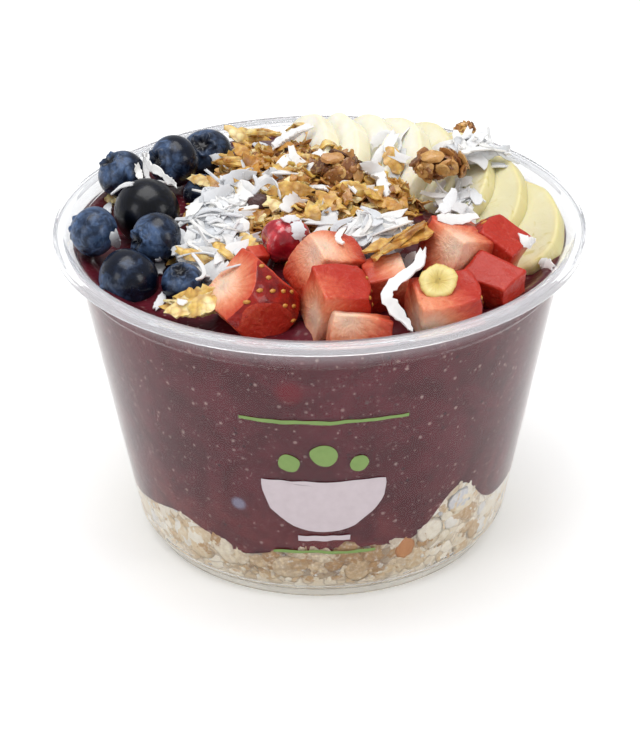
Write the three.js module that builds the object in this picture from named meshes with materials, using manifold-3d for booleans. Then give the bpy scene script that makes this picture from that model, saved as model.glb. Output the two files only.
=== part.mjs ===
// An acai bowl to go: a clear deli cup holding a layer of granola and a thick acai puree,
// topped with blueberries, cut strawberries, a fan of banana, toasted granola and coconut.
//
// Millimetres, +Z up. The origin is at the middle of the foot ring's underside.
import * as THREE from 'three';
import Module from 'manifold-3d';
import { mergeVertices } from 'three/addons/utils/BufferGeometryUtils.js';

const wasm = await Module();
wasm.setup();

// ---------------------------------------------------------------- driving dimensions

const gap = 0.3; // air left between pieces that touch
const sides = 40; // facets round the cup and its contents

const cup = {
  rimRadius: 58.5,
  height: 72.5,
  lipRadius: 55.7, // inner edge of the flat rim
  rimDrop: 2.4, // how far the rim's outer skirt hangs
  wall: 0.9,
  neckRadius: 54.2,
  neckBottom: 65.3,
  neckTop: 70.0,
  shoulder: 64.4, // top of the tapered wall
  baseRadius: 42.3, // the tapered wall's outer radius at baseHeight
  baseHeight: 3.0,
  taper: 0.1785, // growth of the radius for each millimetre of height
  cornerRadius: 2.0,
  footRadius: 39.6,
  footWidth: 1.4,
  footHeight: 2.5,
};

const granolaDepth = 15.5; // mean height of the granola's upper edge above the table
const acaiEdge = 69.7; // height of the puree at the wall
const acaiDome = 1.6; // how much higher it stands in the middle

const berryFlatness = 0.92;
const banana = { count: 8, thickness: 4.3, long: 17, short: 11, bevel: 0.8 }; // half lengths of the oval
const strawberryRadius = 12;
const shred = { width: 2.0, thickness: 0.8 };
const flake = { length: 8, width: 6, thickness: 1.3 };

// ---------------------------------------------------------------- materials

const finish = (color, roughness) => new THREE.MeshStandardMaterial({ color, roughness, metalness: 0 });
const clearPlastic = new THREE.MeshStandardMaterial({
  color: 0xe9edf2,
  roughness: 0.12,
  metalness: 0,
  transparent: true,
  opacity: 0.3,
});
const puree = finish(0x5a3444, 0.5);
const oats = finish(0xc9b48e, 0.8);
const toasted = finish(0xb4803a, 0.65);
const blueberrySkin = finish(0x2a3350, 0.45);
const darkBerrySkin = finish(0x16141c, 0.25);
const strawberry = finish(0xc93a30, 0.3);
const redBerry = finish(0x9c1526, 0.2);
const bananaFlesh = finish(0xeee2a8, 0.5);
const coconut = finish(0xf1f0ec, 0.6);
const raisinSkin = finish(0x3a1416, 0.5);

// ---------------------------------------------------------------- small helpers

const radians = THREE.MathUtils.degToRad;
const lerp = THREE.MathUtils.lerp;
const goldenAngle = Math.PI * (3 - Math.sqrt(5));

// A repeatable draw of numbers from 0 to 1.
function draws(seed) {
  let state = seed;
  return () => {
    state = (state * 1103515245 + 12345) % 2147483648;
    return state / 2147483648;
  };
}

// A closed geometry as a solid that can be joined and cut.
function solid(geometry) {
  const bare = geometry.clone();
  bare.deleteAttribute('normal');
  bare.deleteAttribute('uv');
  const merged = mergeVertices(bare, 1e-5);
  const vertProperties = new Float32Array(merged.attributes.position.array);
  const triVerts = new Uint32Array(merged.index.array);
  return new wasm.Manifold(new wasm.Mesh({ numProp: 3, vertProperties, triVerts }));
}

// The largest single body of a solid, so that no loose scrap is kept.
function mainBody(shape) {
  const bodies = shape.decompose();
  return bodies.reduce((best, body) => (body.volume() > best.volume() ? body : best));
}

function geometryOf(shape) {
  const mesh = shape.getMesh();
  const geometry = new THREE.BufferGeometry();
  geometry.setAttribute('position', new THREE.BufferAttribute(new Float32Array(mesh.vertProperties), 3));
  geometry.setIndex(new THREE.BufferAttribute(new Uint32Array(mesh.triVerts), 1));
  geometry.computeVertexNormals();
  return geometry;
}

// A body turned about Z whose profile may change on the way round. profileAt(angle) gives
// [radius, height] points from the axis, outwards and back to the axis, lowest first.
function turned(profileAt, facets = sides) {
  const angles = Array.from({ length: facets }, (_, i) => (2 * Math.PI * i) / facets);
  const profiles = angles.map(profileAt);
  const rings = profiles[0].length - 2;
  const meanHeight = (index) => profiles.reduce((sum, profile) => sum + profile.at(index)[1], 0) / facets;
  const positions = [0, 0, meanHeight(0)];
  angles.forEach((angle, i) => {
    for (const [radius, height] of profiles[i].slice(1, -1)) {
      positions.push(radius * Math.cos(angle), radius * Math.sin(angle), height);
    }
  });
  positions.push(0, 0, meanHeight(-1));
  const last = 1 + facets * rings;
  const faces = [];
  for (let i = 0; i < facets; i++) {
    const here = 1 + i * rings;
    const next = 1 + ((i + 1) % facets) * rings;
    faces.push(0, next, here);
    for (let j = 0; j < rings - 1; j++) {
      faces.push(here + j, next + j, next + j + 1, here + j, next + j + 1, here + j + 1);
    }
    faces.push(here + rings - 1, next + rings - 1, last);
  }
  const geometry = new THREE.BufferGeometry();
  geometry.setAttribute('position', new THREE.Float32BufferAttribute(positions, 3));
  geometry.setIndex(faces);
  return geometry;
}

// Moves a geometry so that its +Z points along `up`, after a spin about Z, to the place `at`.
function stand(geometry, at, up = [0, 0, 1], spin = 0) {
  const turn = new THREE.Quaternion().setFromUnitVectors(
    new THREE.Vector3(0, 0, 1),
    new THREE.Vector3(...up).normalize(),
  );
  return geometry.rotateZ(spin).applyQuaternion(turn).translate(...at);
}

// ---------------------------------------------------------------- the cup

const outerWall = (z) => cup.baseRadius + cup.taper * (z - cup.baseHeight);
const innerWall = (z) => outerWall(z) - cup.wall;

function cornerArc(radius, height, size, steps) {
  // a quarter turn from a flat base up into the wall
  const points = [];
  for (let i = 0; i <= steps; i++) {
    const angle = (i / steps) * (Math.PI / 2);
    points.push([radius - size + size * Math.sin(angle), height + size - size * Math.cos(angle)]);
  }
  return points;
}

function cupGeometry() {
  const { rimRadius, height, lipRadius, rimDrop, wall, neckRadius, neckBottom, neckTop } = cup;
  const foot = cup.footHeight;
  const corner = foot + cup.cornerRadius;
  const outside = [
    [0, foot],
    [cup.footRadius - cup.footWidth - 0.6, foot],
    [cup.footRadius - cup.footWidth, 0],
    [cup.footRadius, 0],
    [cup.footRadius + 0.4, foot],
    ...cornerArc(outerWall(corner), foot, cup.cornerRadius, 2).slice(1),
    [outerWall(cup.shoulder), cup.shoulder],
    [neckRadius, neckBottom],
    [neckRadius + 0.1, neckTop],
    [lipRadius + 0.4, height - wall],
    [rimRadius - wall, height - wall],
    [rimRadius - wall, height - rimDrop],
    [rimRadius, height - rimDrop],
    [rimRadius - 0.2, height],
  ];
  const inside = [
    [lipRadius, height],
    [neckRadius - wall + 0.1, neckTop],
    [neckRadius - wall, neckBottom + 0.3],
    [innerWall(cup.shoulder), cup.shoulder + 0.3],
    [innerWall(corner + wall), corner + wall],
    [innerWall(corner) - 1.6, foot + wall],
    [0, foot + wall],
  ];
  return turned(() => [...outside, ...inside]);
}

// The contents follow the wall up to `kink` and fill the neck from `neckFoot`.
const kink = cup.shoulder + 0.4;
const neckFoot = cup.neckBottom + 0.5;

// The largest radius that the contents reach at a height, a gap inside the cup.
function contentsRadius(z) {
  const neck = cup.neckRadius - cup.wall - gap;
  const rise = (z - kink) / (neckFoot - kink);
  return lerp(innerWall(Math.min(z, kink)) - gap, neck, THREE.MathUtils.clamp(rise, 0, 1));
}

// ---------------------------------------------------------------- granola layer and puree

// Height of the granola's upper face, where `out` runs from 0 at the axis to 1 at the wall.
function granolaTop(angle, out) {
  const bump = (at, width, rise) => {
    const apart = Math.atan2(Math.sin(angle - radians(at)), Math.cos(angle - radians(at)));
    return rise * Math.exp(-((apart / radians(width)) ** 2));
  };
  const pile = bump(-50, 10, 9) + bump(-35, 12, 2) + bump(-137, 13, 2) + bump(60, 20, 3) + bump(170, 16, 3);
  const dip = bump(-108, 12, -3) + bump(-160, 10, -3) + bump(20, 12, -2);
  const ragged = 0.9 * Math.sin(13 * angle) + 0.7 * Math.sin(7 * angle + 1);
  return granolaDepth + out * (pile + dip + ragged);
}

// Height of the puree's upper face: a low dome with soft swirls.
function acaiTop(angle, out) {
  const swirl = 0.5 * Math.sin(3 * angle + 5 * out) * out * (1 - out) * 4;
  return acaiEdge + acaiDome * (1 - out * out) + swirl;
}

// The granola layer's body. Its side is all oats pressed against the wall: facets of their
// size stand up to `relief` back from the wall, by a seeded draw.
function granolaBody(relief) {
  const draw = draws(11);
  const bottom = cup.footHeight + cup.wall + gap;
  const corner = bottom + cup.cornerRadius;
  return turned((angle) => {
    const edge = granolaTop(angle, 1);
    const radius = (out) => out * contentsRadius(granolaTop(angle, out));
    const pressed = (z) => [contentsRadius(z) - relief * draw() ** 2, z];
    return [
      [0, bottom],
      [contentsRadius(corner) - 1.8, bottom],
      [contentsRadius(corner), corner],
      pressed(lerp(corner, edge, 0.34 + 0.1 * draw())),
      pressed(lerp(corner, edge, 0.7 + 0.1 * draw())),
      [contentsRadius(edge), edge],
      [radius(0.85), granolaTop(angle, 0.85)],
      [radius(0.5), granolaTop(angle, 0.5)],
      [0, granolaTop(angle, 0)],
    ];
  });
}

function acaiBody() {
  return turned((angle) => {
    const under = (out) => granolaTop(angle, out) + gap;
    const edge = under(1);
    const lower = (out) => [out * contentsRadius(under(out)), under(out)];
    const upper = (out) => [out * contentsRadius(acaiTop(angle, out)), acaiTop(angle, out)];
    return [
      lower(0),
      lower(0.5),
      lower(0.85),
      [contentsRadius(edge), edge],
      [contentsRadius(kink), kink],
      [contentsRadius(neckFoot), neckFoot],
      upper(1),
      upper(0.8),
      upper(0.45),
      upper(0),
    ];
  });
}

// An oat flake: a thin oval of six sides, slightly dished.
function oatFlake({ length, width, thickness }, grow = 0) {
  const dish = 0.35 * thickness;
  const half = thickness / 2 + grow;
  const shape = turned(
    () => [
      [0, -half - dish],
      [1, -half],
      [1, half],
      [0, half - dish],
    ],
    6,
  );
  return shape.scale(length / 2 + 1.2 * grow, width / 2 + 1.2 * grow, 1);
}

// Whole oats that lie flat against the wall, fused to the layer.
function granolaLayer() {
  const draw = draws(7);
  const count = 14;
  const envelope = solid(granolaBody(0));
  let layer = solid(granolaBody(1.1));
  for (let i = 0; i < count; i++) {
    const angle = (2 * Math.PI * (i + 0.4 * draw())) / count;
    const height = lerp(cup.footHeight + cup.wall + 5, granolaTop(angle, 1) - 3, (0.6180339 * i) % 1);
    const radius = contentsRadius(height) - flake.thickness * 0.8;
    const up = [Math.cos(angle), Math.sin(angle), -cup.taper];
    const piece = oatFlake({ ...flake, width: flake.width + draw() });
    stand(piece, [radius * Math.cos(angle), radius * Math.sin(angle), height], up, 3 * draw());
    layer = layer.add(solid(piece).intersect(envelope));
  }
  return layer;
}

// ---------------------------------------------------------------- toppings

// Each topping function takes how much to grow the shape, so that a neighbour can be cut clear.

const berrySides = 10;

// The skin of a blueberry, slightly flattened, at angles from its foot.
const berrySkin = (size, degrees) =>
  degrees.map((degree) => [
    size * Math.sin(radians(degree)),
    -size * berryFlatness * Math.cos(radians(degree)),
  ]);

// A blueberry with its crown, a five-pointed star round a shallow crater, towards `crown`.
function blueberry({ at, radius, crown }) {
  return (grow) => {
    const shape = turned((angle) => {
      const star = 1 + 0.22 * Math.cos(5 * angle);
      return [
        ...berrySkin(radius + grow, [0, 35, 66, 95, 124, 151]),
        [0.36 * radius * star + grow, radius * (berryFlatness + 0.06) + grow],
        [0.24 * radius, radius * (berryFlatness - 0.12) + grow],
        [0, radius * (berryFlatness - 0.16) + grow],
      ];
    }, berrySides);
    return solid(stand(shape, at, crown));
  };
}

// The dent that a blueberry presses in the puree.
function berryDent({ at, radius, crown }) {
  return (grow) => {
    const top = radius * (berryFlatness + 0.06) + grow;
    const profile = [...berrySkin(radius + grow, [0, 35, 66, 95, 124, 151]), [0.46 * radius + grow, top], [0, top]];
    return solid(stand(turned(() => profile, berrySides), at, crown));
  };
}

// A piece of strawberry: a box cut from a berry whose skin lies `skinAt` from the box's
// middle, on the side that `skin` points to in the box's own axes.
function strawberryPiece({ at, size, turn, skin, skinAt, radius = strawberryRadius }) {
  return (grow) => {
    const place = (geometry) =>
      geometry
        .applyQuaternion(new THREE.Quaternion().setFromEuler(new THREE.Euler(...turn.map(radians), 'ZYX')))
        .translate(...at);
    const box = new THREE.BoxGeometry(...size.map((side) => side + 2 * grow));
    const centre = new THREE.Vector3(...skin).normalize().multiplyScalar(skinAt - radius);
    const body = new THREE.SphereGeometry(radius + grow, 14, 9).scale(1, 1, 1.25);
    body.translate(centre.x, centre.y, centre.z);
    return solid(place(box)).intersect(solid(place(body)));
  };
}

// A slice of banana cut on the slant: an oval whose long axis points along `long`, its cut
// faces looking along `face`, its edge a little rounded.
function bananaSlice({ at, face, long, size }) {
  return (grow) => {
    const half = banana.thickness / 2 + grow;
    const outline = (angle, inset) => {
      const a = banana.long * size + grow - inset;
      const b = banana.short * size + grow - inset;
      return (a * b) / Math.hypot(b * Math.cos(angle), a * Math.sin(angle));
    };
    const shape = turned((angle) => {
      const inner = outline(angle, banana.bevel);
      return [
        [0, -half],
        [inner, -half],
        [outline(angle, 0), 0],
        [inner, half],
        [0, half],
      ];
    }, 12);
    const up = new THREE.Vector3(...face).normalize();
    const across = up.clone().cross(new THREE.Vector3(...long)).normalize();
    const along = across.clone().cross(up);
    const axes = new THREE.Matrix4().makeBasis(along, across, up);
    return solid(shape.applyMatrix4(axes).translate(...at));
  };
}

// A flat strip that follows points, its broad side facing up: a shred of coconut or a chip.
function strip({ path, width, thickness, taper = 0.35 }) {
  const steps = path.length;
  return (grow) => {
    const curve = new THREE.CatmullRomCurve3(path.map((point) => new THREE.Vector3(...point)));
    const positions = [];
    const faces = [];
    const sections = steps + 1;
    for (let i = 0; i < sections; i++) {
      const along = i / steps;
      const tangent = curve.getTangentAt(along);
      const across = new THREE.Vector3(0, 0, 1).cross(tangent).normalize();
      const up = tangent.clone().cross(across);
      const narrowing = 1 - taper * (2 * along - 1) ** 2;
      const halfWidth = (width * narrowing) / 2 + grow;
      const halfThickness = thickness / 2 + grow;
      const middle = curve.getPointAt(along);
      if (i === 0) middle.addScaledVector(tangent, -grow);
      if (i === steps) middle.addScaledVector(tangent, grow);
      const corners = [
        [-1, -1],
        [1, -1],
        [1, 1],
        [-1, 1],
      ];
      for (const [side, height] of corners) {
        const corner = middle
          .clone()
          .addScaledVector(across, side * halfWidth)
          .addScaledVector(up, height * halfThickness);
        positions.push(corner.x, corner.y, corner.z);
      }
    }
    const quad = (a, b, c, d) => faces.push(a, b, c, a, c, d);
    for (let i = 0; i < steps; i++) {
      for (let j = 0; j < 4; j++) {
        const k = (j + 1) % 4;
        quad(4 * i + j, 4 * i + k, 4 * (i + 1) + k, 4 * (i + 1) + j);
      }
    }
    quad(3, 2, 1, 0);
    const end = 4 * steps;
    quad(end, end + 1, end + 2, end + 3);
    const geometry = new THREE.BufferGeometry();
    geometry.setAttribute('position', new THREE.Float32BufferAttribute(positions, 3));
    geometry.setIndex(faces);
    return solid(geometry);
  };
}

// A rounded lump with `bumps` soft bosses all over, such as a cluster, a raisin or a red berry.
function lump({ at, size, bumps = 3, depth = 0.12, facets = 10, spin = 0, up }) {
  return (grow) => {
    const rings = 6;
    const geometry = turned((angle) => {
      const points = [];
      for (let i = 0; i <= rings; i++) {
        const tilt = (Math.PI * i) / rings;
        const radius = 1 + depth * Math.sin(bumps * angle + 1.7 * i) * Math.sin(tilt);
        points.push([radius * Math.sin(tilt), -radius * Math.cos(tilt)]);
      }
      points[0][0] = 0;
      points[rings][0] = 0;
      return points;
    }, facets);
    geometry.scale(...size.map((side) => side / 2 + grow));
    return solid(stand(geometry, at, up, spin));
  };
}

// A mound, the bare core of a heap, its back raised by `tilt` degrees.
function mound({ at, size, tilt = 0 }) {
  return (grow) => {
    const core = new THREE.SphereGeometry(1, 8, 6).rotateX(Math.PI / 2);
    core.scale(...size.map((side) => side / 2 + grow));
    return solid(core.rotateX(radians(tilt)).translate(...at));
  };
}

// A mound with small pieces lying over it. `piece(draw, grow)` makes one piece, lying flat at
// the origin, and each is set on the mound's surface by a seeded draw.
function heap({ at, size, tilt = 0, count, seed, piece }) {
  return (grow) => {
    const draw = draws(seed);
    const half = size.map((side) => side / 2);
    const tilted = (vector) => vector.applyAxisAngle(new THREE.Vector3(1, 0, 0), radians(tilt));
    let shape = mound({ at, size, tilt })(grow);
    for (let i = 0; i < count; i++) {
      const out = 0.93 * Math.sqrt((i + 0.5) / count);
      const angle = goldenAngle * i + 0.5 * draw();
      const unit = [out * Math.cos(angle), out * Math.sin(angle), Math.sqrt(1 - out * out)];
      const place = tilted(new THREE.Vector3(...unit.map((part, axis) => part * half[axis])));
      place.add(new THREE.Vector3(...at));
      const up = tilted(new THREE.Vector3(...unit.map((part, axis) => part / half[axis] + 0.04 * (draw() - 0.5))));
      shape = shape.add(solid(stand(piece(draw, grow), place, up, 2 * Math.PI * draw())));
    }
    return shape;
  };
}

const looseFlake = (draw, grow) => {
  const size = 0.7 + 0.5 * draw();
  return oatFlake({ ...flake, length: flake.length * size, width: flake.width * size }, grow);
};

const looseShred = (draw, grow) => {
  const length = 6 + 5 * draw() + 2 * grow;
  const width = shred.width * (0.8 + 0.6 * draw()) + 2 * grow;
  return new THREE.BoxGeometry(length, width, shred.thickness + 2 * grow);
};

// ---------------------------------------------------------------- what lies where

const blueberries = [
  { at: [-25.9, 36.4, 72.0], radius: 6.2, crown: [0.5, 0.6, 0.6] },
  { at: [-33.0, 26.5, 75.0], radius: 6.0, crown: [-0.8, -0.5, -0.1] },
  { at: [-44.4, 19.7, 75.0], radius: 5.5, crown: [-0.6, 0.2, 0.75] },
  { at: [-37.8, 0.9, 74.4], radius: 7.4, crown: [0.3, 0.9, -0.2] },
  { at: [-48.6, -9.7, 75.0], radius: 5.4, crown: [-0.9, 0.3, 0.1] },
  { at: [-34.9, -12.4, 74.5], radius: 5.7, crown: [-0.75, -0.6, -0.2] },
  { at: [-40.5, -22.9, 70.0], radius: 6.7, crown: [-0.5, -0.7, 0.4] },
  { at: [-28.9, -26.0, 70.5], radius: 4.6, crown: [0.2, -0.2, 0.95] },
  { at: [-25.6, 14.5, 72.0], radius: 4.9, crown: [0.1, 0.3, 0.9] },
];

const strawberries = [
  { at: [-13.6, -38.4, 72.6], size: [14, 14, 13], turn: [0, -40, 28], skin: [1, -0.4, 0.3], skinAt: 7.0 },
  { at: [4.3, -39.6, 72.5], size: [13, 11, 12], turn: [15, 10, 20], skin: [1, 0, 0.2], skinAt: 6.2 },
  { at: [0.9, -27.6, 75.3], size: [12, 11, 12], turn: [20, 20, 35], skin: [0, 1, 0.2], skinAt: 5.6 },
  { at: [8.0, -47.3, 70.0], size: [13, 4, 7], turn: [-15, 12, 8], skin: [0, 1, 0], skinAt: 9 },
  { at: [14.0, -31.0, 71.8], size: [9, 8, 11], turn: [10, -10, 10], skin: [0, 0.6, -0.8], skinAt: 6.5 },
  { at: [28.6, -21.8, 75.2], size: [12, 12, 11], turn: [10, 20, 40], skin: [-1, 0.2, -0.4], skinAt: 7.0 },
  { at: [36.2, -18.2, 74.6], size: [13, 9, 11], turn: [5, 25, -32], skin: [-0.5, 0.8, 0.3], skinAt: 5.2 },
  { at: [36.2, -30.2, 71.9], size: [11, 8, 8], turn: [20, 10, -35], skin: [0.3, -0.4, 1], skinAt: 4.2 },
  { at: [26.2, -39.2, 71.8], size: [15, 10, 8], turn: [15, 0, 18], skin: [1, -0.2, 0.3], skinAt: 7.2 },
  { at: [-13.6, -21.0, 73.6], size: [4, 4, 5], turn: [20, 10, 30], skin: [1, 0, 1], skinAt: 2.4 },
];

// The banana fan: slices cut on the slant, side by side from the left to the right behind the
// middle, each leaning on the next, their back ends along the wall and their front ends spread.
function bananaFan() {
  const slices = [];
  for (let i = 0; i < banana.count; i++) {
    const along = i / (banana.count - 1);
    slices.push({
      at: [lerp(-3, 42.5, along), lerp(27, 0, along ** 3.5), lerp(73.3, 69.3, along ** 4)],
      face: [lerp(-0.75, -0.5, along), -0.2, lerp(0.6, 0.85, along)],
      long: [lerp(0, 0.25, along), -1, lerp(-0.2, -0.1, along)],
      size: lerp(0.9, 1.02, along),
    });
  }
  return slices;
}

const shredPaths = {
  coconut_strand_right: [[21.5, -30.1, 80], [19.4, -37.6, 79.2], [13.6, -43.3, 77.5], [15.6, -46.7, 74], [18.4, -48.4, 70.8]],
  coconut_strand_left: [[-39.9, 22.2, 78.8], [-37.5, 9, 82], [-33.5, 2.4, 82], [-31.4, 1.1, 80.6]],
  coconut_strand_back: [[-10.3, 23.1, 80], [-6.5, 26, 81.6], [-2.1, 29.1, 82]],
  coconut_strand_middle: [[0.8, 17.3, 80.8], [-2, 10, 80.4], [-4.4, 3.3, 79]],
  coconut_strand_wavy: [[-2.2, 2.8, 79.2], [1.2, 1.8, 79.7], [3.4, 1.4, 79.3], [5.7, 2.5, 80.7], [7.9, -1.1, 79.7]],
  coconut_strand_curl: [[9.6, 10.6, 80], [13.4, 6.9, 80.2], [14.9, 0.8, 78]],
};

const lumps = {
  granola_cluster_middle: { at: [4.7, 8, 81], size: [11, 8, 7], up: [0, -0.3, 1], material: toasted },
  granola_cluster_right: { at: [26.8, 9.5, 80.8], size: [12, 7, 6], up: [0.3, -0.4, 1], spin: 0.4, material: toasted },
  granola_bit_back: { at: [34.4, 33, 79.7], size: [6, 4, 3.6], up: [0.2, -0.3, 1], material: toasted },
  raisin: { at: [-13, -1.6, 77.4], size: [5.4, 4, 4], bumps: 4, spin: 0.8, material: raisinSkin },
};

const chips = {
  granola_chip_long: {
    path: [[10.4, -32, 78.2], [15, -27.5, 79.6], [20, -22.5, 80.4], [24, -18, 80.2]],
    width: 5,
    thickness: 1.6,
  },
  granola_chip_front: {
    path: [[-31, -36.5, 70.6], [-27, -37.8, 71.6], [-22.5, -38, 73], [-20, -38.4, 73.4]],
    width: 6.5,
    thickness: 1.8,
  },
  granola_chip_back: {
    path: [[-20, 33.5, 77.6], [-14, 34, 78.6], [-8, 31, 79]],
    width: 4.5,
    thickness: 1.4,
  },
  granola_chip_left: {
    path: [[-23.5, 17.8, 78.4], [-19.5, 15.5, 79.4], [-15.6, 12.5, 79.6]],
    width: 5,
    thickness: 1.6,
  },
};

const looseOat = (grow) => solid(stand(oatFlake(flake, grow), [24.2, -40.2, 77.6], [0.1, -0.75, 0.65]));

const heaps = {
  granola_heap: { at: [-3, 12, 71], size: [51, 56, 17], count: 15, seed: 3, piece: looseFlake },
  coconut_heap_left: { at: [-22, -10, 73], size: [17, 38, 12], tilt: 12, count: 11, seed: 5, piece: looseShred },
  coconut_heap_middle: { at: [12.5, -17, 76], size: [17, 10, 9], count: 7, seed: 9, piece: looseShred },
  coconut_heap_right: { at: [33.6, 17, 80.5], size: [16, 8, 5], count: 6, seed: 13, piece: looseShred },
};

// ---------------------------------------------------------------- building

const bowl = new THREE.Group();

function addMesh(name, geometry, material) {
  const mesh = new THREE.Mesh(geometry, material);
  mesh.name = name;
  bowl.add(mesh);
}

const placed = [];

// The room that the toppings have inside the cup and above it.
const high = 100;
const room = solid(
  turned(() => [
    [0, cup.footHeight + cup.wall],
    [contentsRadius(cup.footHeight + cup.wall), cup.footHeight + cup.wall],
    [contentsRadius(kink), kink],
    [contentsRadius(neckFoot), neckFoot],
    [contentsRadius(cup.neckTop), cup.neckTop],
    [cup.lipRadius - gap, cup.height],
    [cup.lipRadius - gap, high],
    [0, high],
  ]),
);

// Sets a topping in the bowl, cut clear of all that is there already.
function place(name, make, material, dent = make) {
  let shape = make(0).intersect(room);
  for (const other of placed) shape = shape.subtract(other.grown);
  addMesh(name, geometryOf(mainBody(shape)), material);
  placed.push({ grown: make(gap), dent: dent(gap) });
}

addMesh('cup', cupGeometry(), clearPlastic);
addMesh('granola_layer', geometryOf(granolaLayer()), oats);

blueberries.forEach((berry, i) => {
  const skin = berry.radius > 7 ? darkBerrySkin : blueberrySkin;
  place(`blueberry_${i + 1}`, blueberry(berry), skin, berryDent(berry));
});
strawberries.forEach((piece, i) => place(`strawberry_${i + 1}`, strawberryPiece(piece), strawberry));
bananaFan().forEach((slice, i) => place(`banana_${i + 1}`, bananaSlice(slice), bananaFlesh));
place('red_berry', lump({ at: [-7.1, -18.1, 76.6], size: [10, 10, 10.5], bumps: 5, depth: 0.08 }), redBerry);

for (const [name, { material, ...shape }] of Object.entries(lumps)) place(name, lump(shape), material);
for (const [name, shape] of Object.entries(chips)) place(name, strip(shape), toasted);
place('oat_flake', looseOat, oats);
for (const [name, path] of Object.entries(shredPaths)) {
  place(name, strip({ path, width: shred.width, thickness: shred.thickness }), coconut);
}
for (const [name, shape] of Object.entries(heaps)) {
  place(name, heap(shape), shape.piece === looseFlake ? toasted : coconut);
}

// The puree comes last, dented by all that is pressed into it.
let acai = solid(acaiBody());
for (const other of placed) acai = acai.subtract(other.dent);
addMesh('acai', geometryOf(mainBody(acai)), puree);

export default bowl;
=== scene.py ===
import math
import random

import bmesh
import bpy
from mathutils import Euler, Matrix, Vector, noise
from mathutils.bvhtree import BVHTree


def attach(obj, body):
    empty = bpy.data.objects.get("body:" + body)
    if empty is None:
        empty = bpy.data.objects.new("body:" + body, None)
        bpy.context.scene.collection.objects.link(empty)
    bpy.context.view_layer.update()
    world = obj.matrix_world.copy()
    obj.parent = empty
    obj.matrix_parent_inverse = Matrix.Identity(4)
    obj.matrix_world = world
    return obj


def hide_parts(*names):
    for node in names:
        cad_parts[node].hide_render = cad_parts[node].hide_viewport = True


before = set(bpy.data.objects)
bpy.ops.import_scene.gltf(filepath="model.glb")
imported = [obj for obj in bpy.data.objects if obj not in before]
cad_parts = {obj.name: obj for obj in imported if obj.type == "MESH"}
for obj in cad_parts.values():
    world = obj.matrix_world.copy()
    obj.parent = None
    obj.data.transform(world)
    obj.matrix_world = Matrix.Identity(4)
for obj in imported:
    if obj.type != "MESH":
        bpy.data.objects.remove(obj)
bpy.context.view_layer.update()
# noise_vector takes its offsets from the clock unless it is seeded
noise.seed_set(1)

# ---------------------------------------------------------------- sizes, in millimetres
MM = 0.001
BASE_RADIUS, BASE_HEIGHT, TAPER, WALL = 42.3, 3.0, 0.1785, 0.9
KINK, NECK_FOOT = 64.8, 65.8
INTO_WALL = 0.3
NECK_FILL = 53.3 + INTO_WALL
FLOOR, CORNER_TOP, CORNER_RADIUS, CORNER_SLOPE = 3.4, 5.4, 41.83, 0.8
SURFACE_FOOT, SURFACE_REACH, SHORE = 66, 52.5, 52.8
LOWEST_SHRED, WITHIN_RIM = 64, 51
PRINT_RADIUS = 48.0
CRISP = 65
CAMERA_AT, LOOKS_AT = Vector((0, -505.6, 314.7)), Vector((0, 0, 37.8))
FOCAL_PIXELS, AXIS_PIXEL, CAMERA_ROLL = 2551.3, (320.65, 358.67), -0.56
FRAME_WIDTH, FRAME_HEIGHT = 640, 742


def between(low, high, t):
    return low + (high - low) * t


def kept(x, low=0.0, high=1.0):
    return max(low, min(high, x))


def eased(x):
    x = kept(x)
    return x * x * (3 - 2 * x)


def at_angle(angle, radius, z):
    return Vector((math.cos(angle) * radius, math.sin(angle) * radius, z))


def outer_wall(z):
    return BASE_RADIUS + TAPER * (z - BASE_HEIGHT)


def filled_radius(z):
    """How far out the filling reaches at a height: just into the wall."""
    sloped = outer_wall(min(z, KINK)) - WALL + INTO_WALL
    return between(sloped, NECK_FILL, kept((z - KINK) / (NECK_FOOT - KINK)))


def corner_radius(z):
    """How far out the filling reaches in the corner over the cup's floor."""
    return CORNER_RADIUS + INTO_WALL - (CORNER_TOP - z) * CORNER_SLOPE


def swell(angle, at, width, rise):
    turn = (angle - math.radians(at) + math.pi) % (2 * math.pi) - math.pi
    return rise * math.exp(-((math.degrees(turn) / width) ** 2))


# degrees round the cup, width in degrees, rise
HILLS = (
    (-50, 10, 9), (-35, 12, 2), (-137, 13, 2), (60, 20, 3), (170, 16, 3), (-108, 12, -3), (-160, 10, -3),
    (20, 12, -2),
)


def granola_top(angle, out):
    """Height of the granola layer under the puree."""
    ragged = 0.9 * math.sin(13 * angle) + 0.7 * math.sin(7 * angle + 1)
    return 15.5 + out * (sum(swell(angle, *hill) for hill in HILLS) + ragged)


def acai_top(angle, out):
    ripple = 0.5 * math.sin(3 * angle + 5 * out) * out * (1 - out) * 4
    return 69.7 + 1.6 * (1 - out * out) + ripple


# ---------------------------------------------------------------- materials
def hue(*screen):
    """A screen colour of 0 to 255 as the linear colour a material takes."""
    shares = [s / 255 for s in screen]
    return tuple(c / 12.92 if c <= 0.04045 else ((c + 0.055) / 1.055) ** 2.4 for c in shares)


class Value:
    """A number in a material. Arithmetic on it adds Math nodes."""

    def __init__(self, finish, socket):
        self.finish, self.socket = finish, socket

    def __add__(self, other):
        return self.finish.sum("ADD", self, other)

    def __sub__(self, other):
        return self.finish.sum("SUBTRACT", self, other)

    def __rsub__(self, other):
        return self.finish.sum("SUBTRACT", other, self)

    def __mul__(self, other):
        return self.finish.sum("MULTIPLY", self, other)

    __radd__ = __add__
    __rmul__ = __mul__

    def step(self, low, high):
        """0 below low, 1 above high, eased between."""
        inputs = {"Value": self, "From Min": low, "From Max": high}
        return self.finish.add("MapRange", {"interpolation_type": "SMOOTHSTEP"}, inputs, "Result")

    def peak(self, at, width):
        """1 at a value, falling to 0 a width away on both sides."""
        return 1 - self.finish.sum("ABSOLUTE", self - at).step(0.0, width)


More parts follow.
